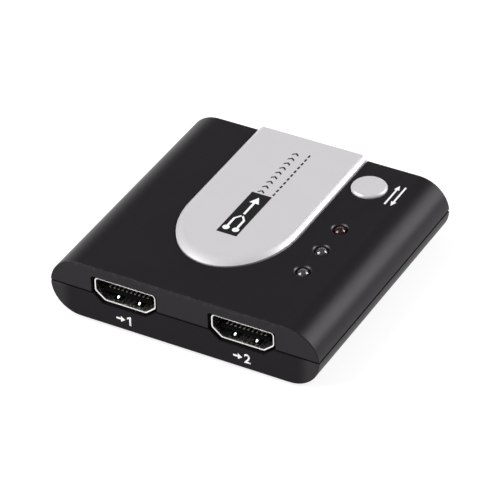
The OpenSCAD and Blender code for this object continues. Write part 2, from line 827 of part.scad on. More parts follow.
// Ceramic capacitors on all four sides of the switch chip
module ceramic_capacitors() color("#b08d63") on_board(switch_chip_at) {
    for (i = [-1:1], s = [-1, 1])
        translate([i * ceramic_pitch, s * ceramic_offset, 0]) chip_block(ceramic_size);
    for (s = [-1, 1])
        translate([s * ceramic_offset, 0, 0]) rotate([0, 0, 90]) chip_block(ceramic_size);
}

// One resistor beside each lamp, and a row of four behind each input receptacle
module resistors() color("#2b2b2e") {
    for (y = lamp_y) on_board([lamp_x - lamp_resistor_offset, y]) chip_block(resistor_size);
    for (x = resistor_rows, i = [0:resistor_count - 1])
        on_board([x + i * resistor_pitch, resistor_row_y]) rotate([0, 0, 90]) chip_block(resistor_size);
}

upper_shell();
lower_shell();
top_plate();
select_button();
case_screws();
rubber_feet();
circuit_board();
power_lamp();
input_2_lamp();
input_1_lamp();
lamp_leads();
input_1_sleeve();
input_1_insulator();
input_1_contacts();
input_2_sleeve();
input_2_insulator();
input_2_contacts();
output_sleeve();
output_insulator();
output_contacts();
tact_base();
tact_cover();
tact_plunger();
tact_dome();
tact_terminals();
switch_chip();
switch_chip_leads();
memory_chip();
memory_chip_leads();
regulator();
regulator_leads();
bulk_capacitor();
ceramic_capacitors();
resistors();
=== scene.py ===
import math
import bmesh
import bpy
from mathutils import Matrix, Vector


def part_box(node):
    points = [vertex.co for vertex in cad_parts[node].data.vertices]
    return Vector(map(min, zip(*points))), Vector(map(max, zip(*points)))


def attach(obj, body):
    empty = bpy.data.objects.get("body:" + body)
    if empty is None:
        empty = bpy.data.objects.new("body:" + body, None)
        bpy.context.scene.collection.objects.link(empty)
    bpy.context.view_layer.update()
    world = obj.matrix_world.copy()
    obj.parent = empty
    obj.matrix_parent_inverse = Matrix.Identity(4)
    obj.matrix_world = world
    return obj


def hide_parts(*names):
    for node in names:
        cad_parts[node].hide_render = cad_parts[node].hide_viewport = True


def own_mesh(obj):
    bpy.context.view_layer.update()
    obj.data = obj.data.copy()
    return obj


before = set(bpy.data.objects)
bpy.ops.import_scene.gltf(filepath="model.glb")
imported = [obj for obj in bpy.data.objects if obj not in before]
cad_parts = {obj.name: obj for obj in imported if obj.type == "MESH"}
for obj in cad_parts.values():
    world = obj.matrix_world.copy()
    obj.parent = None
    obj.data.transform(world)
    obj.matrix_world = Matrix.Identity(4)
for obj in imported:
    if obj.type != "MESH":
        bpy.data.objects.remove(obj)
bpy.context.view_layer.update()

mm = 0.001
near = 0.004 * mm  # how close counts as the same place
past = 1 * mm  # how far a cutter runs past the surface it cuts
quarterTurn = math.radians(90)
scene = bpy.context.scene
shadeAngle = math.radians(35)  # edges sharper than this stay sharp


# helpers for working on one piece at a time

def clearSelection():
    if bpy.context.mode != "OBJECT":
        bpy.ops.object.mode_set(mode="OBJECT")
    bpy.ops.object.select_all(action="DESELECT")


def activate(piece):
    clearSelection()
    piece.select_set(True)
    bpy.context.view_layer.objects.active = piece


def startPiece(name, scale=(1, 1, 1)):  # names the primitive just added and moves its place into the mesh
    piece = bpy.context.active_object
    piece.scale = scale
    activate(piece)
    bpy.ops.object.transform_apply(location=True, rotation=True, scale=True)
    piece.name = name
    piece.data.name = name
    return piece


def pick(piece, kind, test=None):  # opens a piece for editing with some of it selected
    activate(piece)
    bpy.ops.object.mode_set(mode="EDIT")
    bpy.ops.mesh.select_mode(type=kind)
    bpy.ops.mesh.select_all(action="DESELECT")
    mesh = bmesh.from_edit_mesh(piece.data)
    mesh.normal_update()
    for part in {"VERT": mesh.verts, "EDGE": mesh.edges, "FACE": mesh.faces}[kind]:
        if test is None or test(part):
            part.select_set(True)
    mesh.select_flush_mode()
    bmesh.update_edit_mesh(piece.data)


def endEdit():
    bpy.ops.object.mode_set(mode="OBJECT")


def onPlane(part, axis, level):  # all corners of an edge or a face lie at one level
    return all(abs(vert.co[axis] - level) < near for vert in part.verts)


def facesUp(face):
    return face.normal.z > 0.9


def facesDown(face):
    return face.normal.z < -0.9


def facesFrontRear(face):
    return abs(face.normal.y) > 0.95


def isUpright(face):
    return abs(face.normal.z) < 0.2


def runsAlongY(face):
    return abs(face.normal.y) < 0.2


def isRoundEnd(face):  # the many-sided end of a round piece
    return len(face.verts) > 8


def isCrease(edge, testA, testB):  # an edge between a face like A and a face like B
    if len(edge.link_faces) != 2:
        return False
    first, second = edge.link_faces
    return testA(first) and testB(second) or testA(second) and testB(first)


def roundEdges(piece, test, offset, steps, profile=0.5):  # a profile of 0.25 is a flat chamfer
    pick(piece, "EDGE", test)
    bpy.ops.mesh.bevel(offset=offset, offset_type="OFFSET", segments=steps, profile=profile,
                       affect="EDGES", clamp_overlap=False)
    endEdit()


def pullOut(step):
    bpy.ops.mesh.extrude_region_move(TRANSFORM_OT_translate={"value": step})


def resize(factors, middle):  # wider or narrower about a fixed point
    bpy.ops.transform.resize(value=factors, center_override=middle)


def inset(rim, depth=0):
    bpy.ops.mesh.inset(thickness=rim, depth=depth)


def cutAway(piece, place, outwards, inner=False, fill=False):  # clears what lies beyond a plane, or inside it
    pick(piece, "FACE")
    bpy.ops.mesh.bisect(plane_co=place, plane_no=outwards, clear_outer=not inner, clear_inner=inner,
                        use_fill=fill)
    endEdit()


def faceOutwards(piece):
    pick(piece, "FACE")
    bpy.ops.mesh.remove_doubles(threshold=near)
    bpy.ops.mesh.normals_make_consistent(inside=False)
    endEdit()


def useModifier(piece, kind, **settings):
    activate(piece)
    modifier = piece.modifiers.new(kind.lower(), kind)
    for key, value in settings.items():
        setattr(modifier, key, value)
    bpy.ops.object.modifier_apply(modifier=modifier.name)


def carve(piece, cutter, operation="DIFFERENCE"):
    useModifier(piece, "BOOLEAN", object=cutter, operation=operation, solver="EXACT")
    bpy.data.objects.remove(cutter, do_unlink=True)


def smooth(piece):  # soft shading across arcs, flat faces kept flat
    activate(piece)
    bpy.ops.object.shade_smooth_by_angle(angle=shadeAngle)
    useModifier(piece, "WEIGHTED_NORMAL", keep_sharp=True, weight=80)


def joinPieces(first, *others):
    activate(first)
    for other in others:
        other.select_set(True)
    bpy.ops.object.join()
    return first


def copyPiece(piece, name, move):
    twin = piece.copy()
    twin.data = piece.data.copy()
    twin.data.transform(move)
    twin.name = name
    twin.data.name = name
    scene.collection.objects.link(twin)
    return twin


def addCylinder(name, radius, low, high, place, sides):
    bpy.ops.mesh.primitive_cylinder_add(
        vertices=sides, radius=radius, depth=high - low, location=(place[0], place[1], (low + high) / 2))
    return startPiece(name)


def carveRound(piece, places, radius, low, high, sides, operation="DIFFERENCE"):
    for place in places:
        carve(piece, addCylinder("cutter", radius, low, high, place, sides), operation)


def addBox(name, low, high):
    low, high = Vector(low), Vector(high)
    bpy.ops.mesh.primitive_cube_add(size=1, location=(low + high) / 2)
    return startPiece(name, high - low)


def dress(piece, finish):
    piece.data.materials.clear()
    piece.data.materials.append(finish)


def mount(piece, slot, finish, *nodes, body="case"):  # dresses a finished piece, sets it on the body it rides on and hides the nodes it stands for
    dress(piece, finish)
    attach(piece, body)
    if nodes:
        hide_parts(*nodes)
    return piece


# shader arithmetic

class Wire:  # one output socket, with the operators that the finishes use
    def __init__(self, socket):
        self.socket = socket
        self.tree = socket.id_data

    def node(self, kind, settings=None, sockets=None, output=0):
        made = self.tree.nodes.new(kind)
        for key, value in (settings or {}).items():
            setattr(made, key, value)
        for key, value in (sockets or {}).items():
            if isinstance(value, Wire):
                self.tree.links.new(value.socket, made.inputs[key])
            else:
                made.inputs[key].default_value = value
        return Wire(made.outputs[output])

    def calc(self, operation, first, second=0.0):
        return self.node("ShaderNodeMath", {"operation": operation}, {0: first, 1: second})

    def __add__(self, other):
        return self.calc("ADD", self, other)

    __radd__ = __add__

    def __sub__(self, other):
        return self.calc("SUBTRACT", self, other)

    def __rsub__(self, other):
        return self.calc("SUBTRACT", other, self)

    def __mul__(self, other):
        return self.calc("MULTIPLY", self, other)

    def __abs__(self):
        return self.calc("ABSOLUTE", self)

    def ramp(self, low, high):  # 0 below low, 1 above high
        return self.node("ShaderNodeMapRange", {"interpolation_type": "SMOOTHSTEP"},
                         {"Value": self, "From Min": low, "From Max": high})

    def tint(self, first, second):  # from one colour to another by this mask
        return self.node("ShaderNodeMix", {"data_type": "RGBA"}, {0: self, 6: first, 7: second}, 2)

    def axis(self, index):
        return self.node("ShaderNodeSeparateXYZ", None, {0: self}, index)

    def stretch(self, scale, turn=(0, 0, 0)):
        return self.node("ShaderNodeMapping", None, {"Vector": self, "Scale": scale, "Rotation": turn})

    def noise(self, scale, detail=3.0, rough=0.55):
        return self.node("ShaderNodeTexNoise", None,
                         {"Vector": self, "Scale": scale, "Detail": detail, "Roughness": rough})

    def cells(self, scale):
        return self.node("ShaderNodeTexVoronoi", {"feature": "F1"}, {"Vector": self, "Scale": scale}, 1)


def newFinish(name, **constants):  # a material, the object's own coordinates and its shader
    finish = bpy.data.materials.new(name)
    finish.use_nodes = True
    tree = finish.node_tree
    shader = tree.nodes["Principled BSDF"]
    for key, value in constants.items():
        shader.inputs[key.replace("_", " ")].default_value = value
    place = Wire(tree.nodes.new("ShaderNodeTexCoord").outputs["Object"])
    return finish, place, shader


def feed(shader, **wires):
    for key, wire in wires.items():
        shader.id_data.links.new(wire.socket, shader.inputs[key.replace("_", " ")])


def bumpFrom(height, strength, depth):
    return height.node("ShaderNodeBump", None, {"Strength": strength, "Distance": depth, "Height": height})


def grey(level):
    return (level, level, level, 1)


def scaled(colour, factor):
    return tuple(part * factor for part in colour[:3]) + (1,)


# overall sizes, read from the frame

lowerLow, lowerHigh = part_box("lower_shell")
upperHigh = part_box("upper_shell")[1]
plateLow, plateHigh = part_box("top_plate")
buttonLow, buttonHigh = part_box("select_button")
boardLow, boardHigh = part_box("circuit_board")
inkSizes = {"film": 0.012 * mm, "sunk": 0.05 * mm}  # a film lies on the surface, inside the overall size
halfWide, halfDeep = upperHigh.x, upperHigh.y - inkSizes["film"]
undersideZ, partingZ, topZ = lowerLow.z, lowerHigh.z, upperHigh.z

# an edge is its radius and steps, and a profile where it isn't round
caseSizes = {"topRadius": 7.3 * mm, "bottomRadius": 7 * mm, "arcSteps": 24, "wall": 2 * mm,
             "grooveHeight": 0.45 * mm, "grooveDepth": 0.45 * mm, "edge": (0.2 * mm, 4),
             "rimEdge": (0.12 * mm, 2)}

ceilingZ = topZ - caseSizes["wall"]
grooveZ = partingZ - caseSizes["grooveHeight"]


def middleOf(node):
    low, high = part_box(node)
    return (low + high) / 2


# finishes

plasticLook = {"grainScale": 3600, "grainDepth": 0.05 * mm, "sheen": (1, 0.93, 1, 1), "cloudScale": 70,
               "scratchScale": (260, 5200, 260), "scratchTurn": 0.4, "worn": 0.03, "coatRoughness": 0.4,
               "edgeReach": 0.7 * mm, "edgeDrop": (1.2 * mm, 0.2 * mm), "grooveShadeFade": 0.02 * mm,
               "handled": (27 * mm, 30 * mm), "holeRim": (1.84 * mm, 2 * mm), "rimShine": 0.7}


def blackPlastic(name, base, roughness, gloss, polish, shadeAboveZ, holes=()):  # painted shade: base colour darker above the given height, standing in for the shade inside the groove
    look = plasticLook
    finish, place, shader = newFinish(
        name, Specular_IOR_Level=gloss, Specular_Tint=look["sheen"], Coat_Roughness=look["coatRoughness"])
    cloud = place.noise(look["cloudScale"], 4)
    grain = place.noise(look["grainScale"], 2)
    scratch = place.stretch(look["scratchScale"], (0, 0, look["scratchTurn"])).noise(1, 5, 0.7)
    scratch = scratch.ramp(0.66, 0.78)
    rim = abs(place.axis(1)).ramp(halfDeep - look["edgeReach"], halfDeep)
    rim = rim * place.axis(2).ramp(*(topZ - drop for drop in look["edgeDrop"]))
    rubbed = rim * place.noise(900, 4).ramp(0.45, 0.7)
    # painted shade: above this height the base colour turns dark, as if in the groove's shadow; roughness
    # rises there too
    grooveShade = place.axis(2).ramp(shadeAboveZ - look["grooveShadeFade"], shadeAboveZ)
    handled = abs(place.axis(0)).ramp(*look["handled"])  # long sides, polished by hands
    polished = handled * (0.9 + cloud * 0.2) * polish
    for hole in holes:  # the rims of the lamp holes shine
        x, y = place.axis(0) - hole.x, place.axis(1) - hole.y
        beyond = (x * x + y * y).ramp(*(radius ** 2 for radius in look["holeRim"]))
        polished = polished + (1.0 - beyond) * look["rimShine"]
    shade = cloud.tint(scaled(base, 0.9), scaled(base, 1.1))
    shade = (scratch * 0.25).tint(shade, grey(look["worn"]))
    shade = (rubbed * 0.8).tint(shade, grey(look["worn"]))
    uneven = cloud * 0.1 - rubbed * 0.06 - scratch * 0.04 + grain * 0.03 + grooveShade * 0.4
    feed(shader, Base_Color=grooveShade.tint(shade, scaled(base, 0.15)), Coat_Weight=polished,
         Roughness=roughness - 0.05 + uneven, Normal=bumpFrom(grain, 0.35, look["grainDepth"]))
    return finish


silverLook = {"flakeScale": 16000, "base": (0.615, 0.597, 0.615, 1), "flake": (0.68, 0.66, 0.68, 1),
              "light": 0.72, "worn": (0.55, 0.55, 0.56, 1), "roughness": 0.42, "metallic": 0.25,
              "coatRoughness": 0.25}


def silverPaint(name):
    look = silverLook
    finish, place, shader = newFinish(
        name, Metallic=look["metallic"], Specular_IOR_Level=0.5, Coat_Roughness=look["coatRoughness"])
    flake = place.cells(look["flakeScale"]).axis(0)
    cloud = place.noise(90, 4)
    speck = place.noise(2600, 3).ramp(0.68, 0.8)
    paint = (flake * 0.5).tint(look["base"], look["flake"])
    paint = (cloud * 0.12).tint(paint, grey(look["light"]))
    feed(shader, Base_Color=(speck * 0.12).tint(paint, look["worn"]),
         Roughness=look["roughness"] - 0.05 + flake * 0.08 + cloud * 0.06,
         Coat_Weight=0.12 + cloud * 0.1, Normal=bumpFrom(flake, 0.06, 0.004 * mm))
    return finish


def plainMetal(name, base, roughness, streak, tarnish=(0.3, 0.29, 0.28, 1)):
    finish, place, shader = newFinish(name, Metallic=1.0)
    drawn = place.stretch(streak).noise(1, 4, 0.6)
    cloud = place.noise(420, 4)
    stain = place.noise(1500, 5).ramp(0.62, 0.8)
    feed(shader, Base_Color=(stain * 0.3).tint(cloud.tint(base, scaled(base, 0.9)), tarnish),
         Roughness=roughness - 0.06 + drawn * 0.1 + cloud * 0.06 + stain * 0.12,
         Normal=bumpFrom(drawn + place.noise(5200, 2) * 0.5, 0.15, 0.004 * mm))
    return finish


def mattePlastic(name, base, roughness, scale=7000, depth=0.005 * mm, gloss=0.4):
    finish, place, shader = newFinish(name, Specular_IOR_Level=gloss)
    cloud = place.noise(500, 4)
    grain = place.noise(scale, 3)
    feed(shader, Base_Color=cloud.tint(scaled(base, 0.75), base),
         Roughness=roughness - 0.08 + grain * 0.1 + cloud * 0.08, Normal=bumpFrom(grain, 0.4, depth))
    return finish


lensLook = {"clear": 0.86, "index": 1.53, "gloss": 0.9, "roughness": 0.02, "coatRoughness": 0.14}


def lensEpoxy(name, base, coatIndex):
    look = lensLook
    finish, place, shader = newFinish(
        name, Transmission_Weight=look["clear"], IOR=look["index"], Specular_IOR_Level=look["gloss"],
        Coat_Weight=1.0, Coat_IOR=coatIndex, Coat_Roughness=look["coatRoughness"])
    cloud = place.noise(700, 3)
    scuff = place.stretch((900, 4000, 900)).noise(1, 4).ramp(0.6, 0.8)
    feed(shader, Base_Color=cloud.tint(scaled(base, 0.82), base),
         Roughness=look["roughness"] + cloud * 0.03 + scuff * 0.08, Normal=bumpFrom(cloud, 0.05, 0.01 * mm))
    return finish


def printInk(name, base, roughness):
    finish, place, shader = newFinish(name, Specular_IOR_Level=0.3)
    thin = place.noise(3800, 4).ramp(0.3, 0.75)
    feed(shader, Base_Color=thin.tint(scaled(base, 0.88), base), Roughness=roughness + thin * 0.1,
         Normal=bumpFrom(thin, 0.2, 0.003 * mm))
    return finish


# painted shade: these solder mask greens are far darker than a bare board's, so the board seen through the
# port slots looks shaded
darkenedBoardLook = {"dark": (0.0012, 0.009, 0.004, 1), "light": (0.0018, 0.013, 0.006, 1),
             "track": (0.005, 0.028, 0.011, 1), "trackScale": (900, 900, 900), "trackDepth": 0.02 * mm}


def solderMask(name):
    look = darkenedBoardLook
    finish, place, shader = newFinish(name, Specular_IOR_Level=0.3)
    tracks = place.node("ShaderNodeTexBrick", {"offset": 0.5}, {
        "Vector": place.stretch(look["trackScale"]), "Color1": grey(0.2), "Color2": grey(0.55),
        "Mortar": grey(1.0), "Scale": 1.0, "Mortar Size": 0.012, "Brick Width": 3.2, "Row Height": 0.9}, 1)
    cloud = place.noise(300, 4)
    lines = tracks * cloud.ramp(0.4, 0.6)
    shade = cloud.tint(look["dark"], look["light"])
    feed(shader, Base_Color=(lines * 0.6).tint(shade, look["track"]), Roughness=0.28 + cloud * 0.15,
         Normal=bumpFrom(lines, 0.3, look["trackDepth"]))
    return finish


# shared blanks

def roundedBlock(name, wide, deep, low, high, radius, atTop):
    block = addBox(name, (-wide, -deep, low), (wide, deep, high))
    level = high if atTop else low
    roundEdges(block, lambda e: onPlane(e, 2, level) and abs(e.verts[0].co.x - e.verts[1].co.x) < near,
               radius, caseSizes["arcSteps"])
    return block


plateSizes = {"length": 48.8 * mm, "noseLength": 17 * mm, "noseSteps": 128, "sink": 0.5 * mm,
              "gap": 0.25 * mm, "shoulder": 0.75 * mm, "sideRun": 1.15 * mm, "noseRun": 2.8 * mm,
              "shoulderSteps": 12, "shoulderPower": 1.6, "droop": 0.38 * mm, "rearEdge": (0.1 * mm, 3)}
plateTop = plateHigh.z - 2 * inkSizes["film"]
plateX = (plateLow.x + plateHigh.x) / 2
plateHalf = (plateHigh.x - plateLow.x) / 2
plateTip = plateHigh.y - plateSizes["length"]
noseY = plateTip + plateSizes["noseLength"]


def plateBlank(name, grow, low, high, rear):  # half an ellipse, drawn out straight to the rear
    bpy.ops.mesh.primitive_circle_add(
        vertices=plateSizes["noseSteps"], radius=1, fill_type="NGON", location=(plateX, noseY, low))
    blank = startPiece(name, (plateHalf + grow, plateSizes["noseLength"] + grow, 1))
    cutAway(blank, (plateX, noseY, low), (0, 1, 0))
    pick(blank, "EDGE", lambda e: onPlane(e, 1, noseY))
    pullOut((0, rear - noseY, 0))
    pick(blank, "FACE")
    pullOut((0, 0, high - low))
    endEdit()
    faceOutwards(blank)
    return blank


portSizes = {"width": 14 * mm, "height": 4.55 * mm, "floorWidth": 9.7 * mm, "sideHeight": 2.75 * mm,
             "sheet": 0.35 * mm, "corner": 0.5 * mm, "cornerSteps": 6, "caseGap": 0.55 * mm,
             "caseDrop": 0.1 * mm, "setback": 0.5 * mm, "cutPast": 1.5 * mm, "length": 11 * mm,
             "mouthChamfer": 0.27 * mm, "mouthBreak": 0.03 * mm, "mouthSteps": 2, "topShare": 1.13}
ports = ("input_1", "input_2", "output")


def portPlace(port):  # middle of a receptacle's mouth, and which way is inwards along Y
    low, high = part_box(port + "_sleeve")
    z = high.z - portSizes["sheet"] - portSizes["height"] / 2
    inwards = 1 if low.y < 0 else -1
    return Vector(((low.x + high.x) / 2, low.y if inwards > 0 else high.y, z)), inwards


def keyedPrism(name, middle, grow, length):  # the receptacle's outline, drawn out along Y
    size = portSizes
    wide, tall = size["width"] / 2, size["height"] / 2
    sideEnd = tall - size["sideHeight"]
    slant = Vector((wide - size["floorWidth"] / 2, 0, sideEnd + tall)).normalized()
    bpy.ops.mesh.primitive_plane_add(size=2, location=middle, rotation=(quarterTurn, 0, 0))
    prism = startPiece(name, (wide + grow, tall + grow, 1))
    for side in (-1, 1):
        outwards = Vector((side * slant.z, 0, -slant.x))
        onCut = middle + Vector((side * wide, 0, sideEnd)) + outwards * grow
        cutAway(prism, onCut, outwards)
    pick(prism, "FACE")
    pullOut((0, length, 0))
    endEdit()
    faceOutwards(prism)
    turn = math.atan2(slant.x, slant.z)
    topLevel, lowLevel = middle.z + tall + grow, middle.z - tall - grow
    for isThere, slide in (
        (lambda z: abs(z - topLevel) < near, 1),
        (lambda z: abs(z - lowLevel) < near, math.tan((quarterTurn - turn) / 2)),
        (lambda z: middle.z - tall / 2 < z < middle.z, math.tan(turn / 2)),
    ):
        roundEdges(prism, lambda e: abs(e.verts[0].co.y - e.verts[1].co.y) > abs(length) / 2
                   and isThere(e.verts[0].co.z), size["corner"] * slide, size["cornerSteps"])
    return prism


def cutPorts(shell):
    size = portSizes
    for port in ports:
        middle, inwards = portPlace(port)
        start = middle - Vector((0, inwards * (size["setback"] + past), size["caseDrop"]))
        length = inwards * (caseSizes["wall"] + size["cutPast"])
        carve(shell, keyedPrism("cutter", start, size["sheet"] + size["caseGap"], length))


def isPortRim(edge):  # an outer edge of a port opening, clear of the parting line's ends
    portSpan = halfWide / 1.2  # all the ports lie within this
    return (all(abs(abs(v.co.y) - halfDeep) < near for v in edge.verts)
            and isCrease(edge, facesFrontRear, runsAlongY)
            and all(abs(v.co.z - partingZ) > caseSizes["grooveHeight"] + near or abs(v.co.x) < portSpan
                    for v in edge.verts)
            and not (onPlane(edge, 2, partingZ) or onPlane(edge, 2, grooveZ)))


def softenRims(shell, level, test):  # edges of the holes in a flat side, and of the port openings
    for isRim in (lambda e: onPlane(e, 2, level) and isCrease(e, test, isUpright), isPortRim):
        roundEdges(shell, isRim, *caseSizes["rimEdge"])
    smooth(shell)


def isOuterEdge(edge, seam):  # front and rear edges of a shell, apart from its seam
    return (onPlane(edge, 1, halfDeep) or onPlane(edge, 1, -halfDeep)) and not onPlane(edge, 2, seam)


# screws and feet: four of each, set in from the corners of their node's box

screwSizes = {"headRadius": 2 * mm, "headHeight": 1.3 * mm, "sides": 48, "crown": (0.35 * mm, 5),
              "shankRadius": 1.1 * mm, "tipLength": 1 * mm, "tipShare": 0.35, "slotLength": 2.2 * mm,
              "slotWidth": 0.5 * mm, "slotDepth": 0.7 * mm, "slotShare": 0.7}
threadSizes = {"pitch": 0.9 * mm, "depth": 0.28 * mm, "width": 0.4 * mm, "steps": 20, "start": 0.6 * mm,
               "sunk": 0.05 * mm}
footSizes = {"radius": 3.5 * mm, "sides": 64, "edge": (0.3 * mm, 4), "dishRim": 0.8 * mm,
             "dish": 0.12 * mm, "dishRun": 0.24 * mm}


def cornerPlaces(node, reach):
    low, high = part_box(node)
    return [(x, y) for x in (low.x + reach, high.x - reach) for y in (low.y + reach, high.y - reach)]


screwPlaces = cornerPlaces("case_screws", screwSizes["headRadius"])
footPlaces = cornerPlaces("rubber_feet", footSizes["radius"])


def buildThread(place, low, high, radius):  # a three-sided ridge that winds up the shank
    size = threadSizes
    turns = math.floor((high - low) / size["pitch"])
    bpy.ops.mesh.primitive_circle_add(
        vertices=3, radius=1, rotation=(quarterTurn, quarterTurn, 0),
        location=(radius - size["depth"] * 2 / 3, 0, low))
    thread = startPiece("thread", (size["width"] / math.sqrt(3), size["depth"] * 2 / 3, 1))
    useModifier(thread, "SCREW", angle=turns * 2 * math.pi, screw_offset=turns * size["pitch"],
                steps=turns * size["steps"], render_steps=turns * size["steps"], use_merge_vertices=False)
    pick(thread, "FACE")
    bpy.ops.mesh.fill_holes(sides=3)
    endEdit()
    faceOutwards(thread)
    thread.data.transform(Matrix.Translation((place[0], place[1], 0)))
    return thread


def buildScrew(place):
    size = screwSizes
    x, y = place
    low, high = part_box("case_screws")
    seat, tip = low.z + size["headHeight"], size["tipLength"]
    screw = addCylinder("case_screw_1", size["headRadius"], low.z, seat, place, size["sides"])
    roundEdges(screw, lambda e: onPlane(e, 2, low.z), *size["crown"])
    pick(screw, "FACE", facesUp)
    core = size["shankRadius"] - threadSizes["depth"] + threadSizes["sunk"]
    inset(size["headRadius"] - core)
    pullOut((0, 0, high.z - seat - tip))
    pullOut((0, 0, tip))
    resize((size["tipShare"], size["tipShare"], 1), (x, y, high.z))
    endEdit()
    slotTop = low.z + size["slotDepth"]
    for wide, deep in ((size["slotLength"], size["slotWidth"]), (size["slotWidth"], size["slotLength"])):
        slot = addBox("cutter", (x - wide / 2, y - deep / 2, low.z - past),
                      (x + wide / 2, y + deep / 2, slotTop))
        pick(slot, "FACE", facesUp)
        resize((size["slotShare"], size["slotShare"], 1), (x, y, slotTop))
        endEdit()
        carve(screw, slot)
    joinPieces(screw, buildThread(place, seat + threadSizes["start"], high.z - tip, size["shankRadius"]))
    smooth(screw)
    return screw


def buildFoot(place):
    size = footSizes
    low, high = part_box("rubber_feet")
    foot = addCylinder("foot_1", size["radius"], low.z, high.z, place, size["sides"])
    roundEdges(foot, lambda e: onPlane(e, 2, low.z), *size["edge"])
    pick(foot, "FACE", lambda f: facesDown(f) and isRoundEnd(f))
    inset(size["dishRim"])
    inset(size["dishRun"], -size["dish"])
    endEdit()
    smooth(foot)
    return foot


# inside of the case: a lip that locates the shells, screw bosses, ribs under the board, and the plate's pegs

innerSizes = {"lip": 0.8 * mm, "lipHeight": 1 * mm, "fit": 0.1 * mm, "root": 0.5 * mm, "boss": 5 * mm,
              "pilot": 2.3 * mm, "pilotPast": 0.5 * mm, "clearHole": 2.6 * mm, "bossSides": 64,
              "holeSides": 32, "ribLong": 26.5 * mm, "ribThick": 1.2 * mm, "ribInset": 15.1 * mm}
pegSizes = {"radius": 0.8 * mm, "gap": 0.05 * mm, "head": 0.4 * mm, "fromTip": 9 * mm,
            "fromRear": 14.5 * mm, "fromSide": 4 * mm, "sides": 32}
pegRear = plateHigh.y - pegSizes["fromRear"]
pegPlaces = [(plateX, plateTip + pegSizes["fromTip"]), (plateLow.x + pegSizes["fromSide"], pegRear),
             (plateHigh.x - pegSizes["fromSide"], pegRear)]


def footprint(name, margin, low, high):  # a block as large as the case, less a margin all round
    wide, deep = halfWide - margin, halfDeep - margin
    return addBox(name, (-wide, -deep, low), (wide, deep, high))


def shapeUpperInside(shell):
    size = innerSizes
    wall, lipLow = caseSizes["wall"], partingZ - size["lipHeight"]
    lip = footprint("lip", wall - size["lip"], lipLow, partingZ + size["root"])
    carve(lip, footprint("cutter", wall, lipLow - past, partingZ + past))
    carve(shell, lip, "UNION")
    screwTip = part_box("case_screws")[1].z
    for place in screwPlaces:
        carveRound(shell, [place], size["boss"] / 2, boardHigh.z, ceilingZ + size["root"],
                   size["bossSides"], "UNION")
        carveRound(shell, [place], size["pilot"] / 2, boardHigh.z - past, screwTip + size["pilotPast"],
                   size["holeSides"])
    carveRound(shell, pegPlaces, pegSizes["radius"] + pegSizes["gap"], ceilingZ - past, topZ + past,
               pegSizes["sides"])


def shapeLowerInside(shell):
    size = innerSizes
    lipWall = caseSizes["wall"] - size["lip"]
    root = undersideZ + caseSizes["wall"] - size["root"]
    carveRound(shell, screwPlaces, size["boss"] / 2, root, boardLow.z, size["bossSides"], "UNION")
    for side in (-1, 1):
        y = side * (upperHigh.y - size["ribInset"])
        rib = addBox("rib", (-size["ribLong"] / 2, y - size["ribThick"] / 2, root),
                     (size["ribLong"] / 2, y + size["ribThick"] / 2, boardLow.z))
        carve(shell, rib, "UNION")
    lipLow = partingZ - size["lipHeight"] - size["fit"]
    carve(shell, footprint("cutter", lipWall - size["fit"], lipLow, partingZ + past))
    carveRound(shell, screwPlaces, size["clearHole"] / 2, root - size["root"], boardLow.z + past,
               size["holeSides"])


# upper shell

def lampCutter(middle):
    size = lampSizes
    radius, flare = size["radius"] + size["holeGap"], 2 * size["chamfer"]
    cutter = addCylinder("cutter", radius, ceilingZ - 2 * past, topZ - size["chamfer"], middle, size["sides"])
    pick(cutter, "FACE", facesUp)
    pullOut((0, 0, flare))
    resize((1 + flare / radius, 1 + flare / radius, 1), (middle.x, middle.y, topZ))
    endEdit()
    return cutter


def buildUpperShell():
    size = caseSizes
    radius = size["topRadius"]
    rise = topZ - partingZ
    wide = halfWide - math.sqrt(radius ** 2 - (radius - rise) ** 2) + radius
    shell = roundedBlock("upper_case", wide, halfDeep, partingZ - 2 * past, topZ, radius, True)
    cutAway(shell, (0, 0, partingZ), (0, 0, 1), inner=True, fill=True)
    roundEdges(shell, lambda e: isOuterEdge(e, partingZ), *size["edge"])
    carve(shell, roundedBlock("cutter", wide - size["wall"], halfDeep - size["wall"], partingZ - 2 * past,
                              ceilingZ, radius - size["wall"], True))
    shapeUpperInside(shell)
    cutPorts(shell)
    seat = topZ - plateSizes["sink"]
    carve(shell, plateBlank("cutter", plateSizes["gap"], seat, topZ + past, halfDeep + past))
    carveRound(shell, [buttonPlace], buttonSizes["radius"] + buttonSizes["gap"], ceilingZ - 2 * past,
               topZ + past, buttonSizes["sides"])
    for node in lampNodes:
        carve(shell, lampCutter(middleOf(node)))
    softenRims(shell, topZ, facesUp)
    return shell


# lower shell

underSizes = {"screwHole": 4.4 * mm, "screwDepth": 1.6 * mm, "footSeat": 7.2 * mm, "footDepth": 0.4 * mm}


def buildLowerShell():
    size, under = caseSizes, underSizes
    radius = size["bottomRadius"]
    shell = roundedBlock("lower_case", halfWide, halfDeep, undersideZ, partingZ + 2 * past, radius, False)
    cutAway(shell, (0, 0, grooveZ), (0, 0, 1), fill=True)
    pick(shell, "FACE", facesUp)
    inset(size["grooveDepth"])
    pullOut((0, 0, size["grooveHeight"]))
    roundEdges(shell, lambda e: isOuterEdge(e, grooveZ), *size["edge"])
    carve(shell, roundedBlock("cutter", halfWide - size["wall"], halfDeep - size["wall"],
                              undersideZ + size["wall"], partingZ + 2 * past, radius - size["wall"], False))
    shapeLowerInside(shell)
    cutPorts(shell)
    for places, across, depth, sides in (
        (screwPlaces, under["screwHole"], under["screwDepth"], screwSizes["sides"]),
        (footPlaces, under["footSeat"], under["footDepth"], footSizes["sides"]),
    ):
        carveRound(shell, places, across / 2, undersideZ - past, undersideZ + depth, sides)
    softenRims(shell, undersideZ, facesDown)
    return shell


# top plate

def isNose(vert, level):  # a corner of the nose at one level of the shoulder
    return abs(vert.co.z - level) < near and vert.co.y < noseY - near


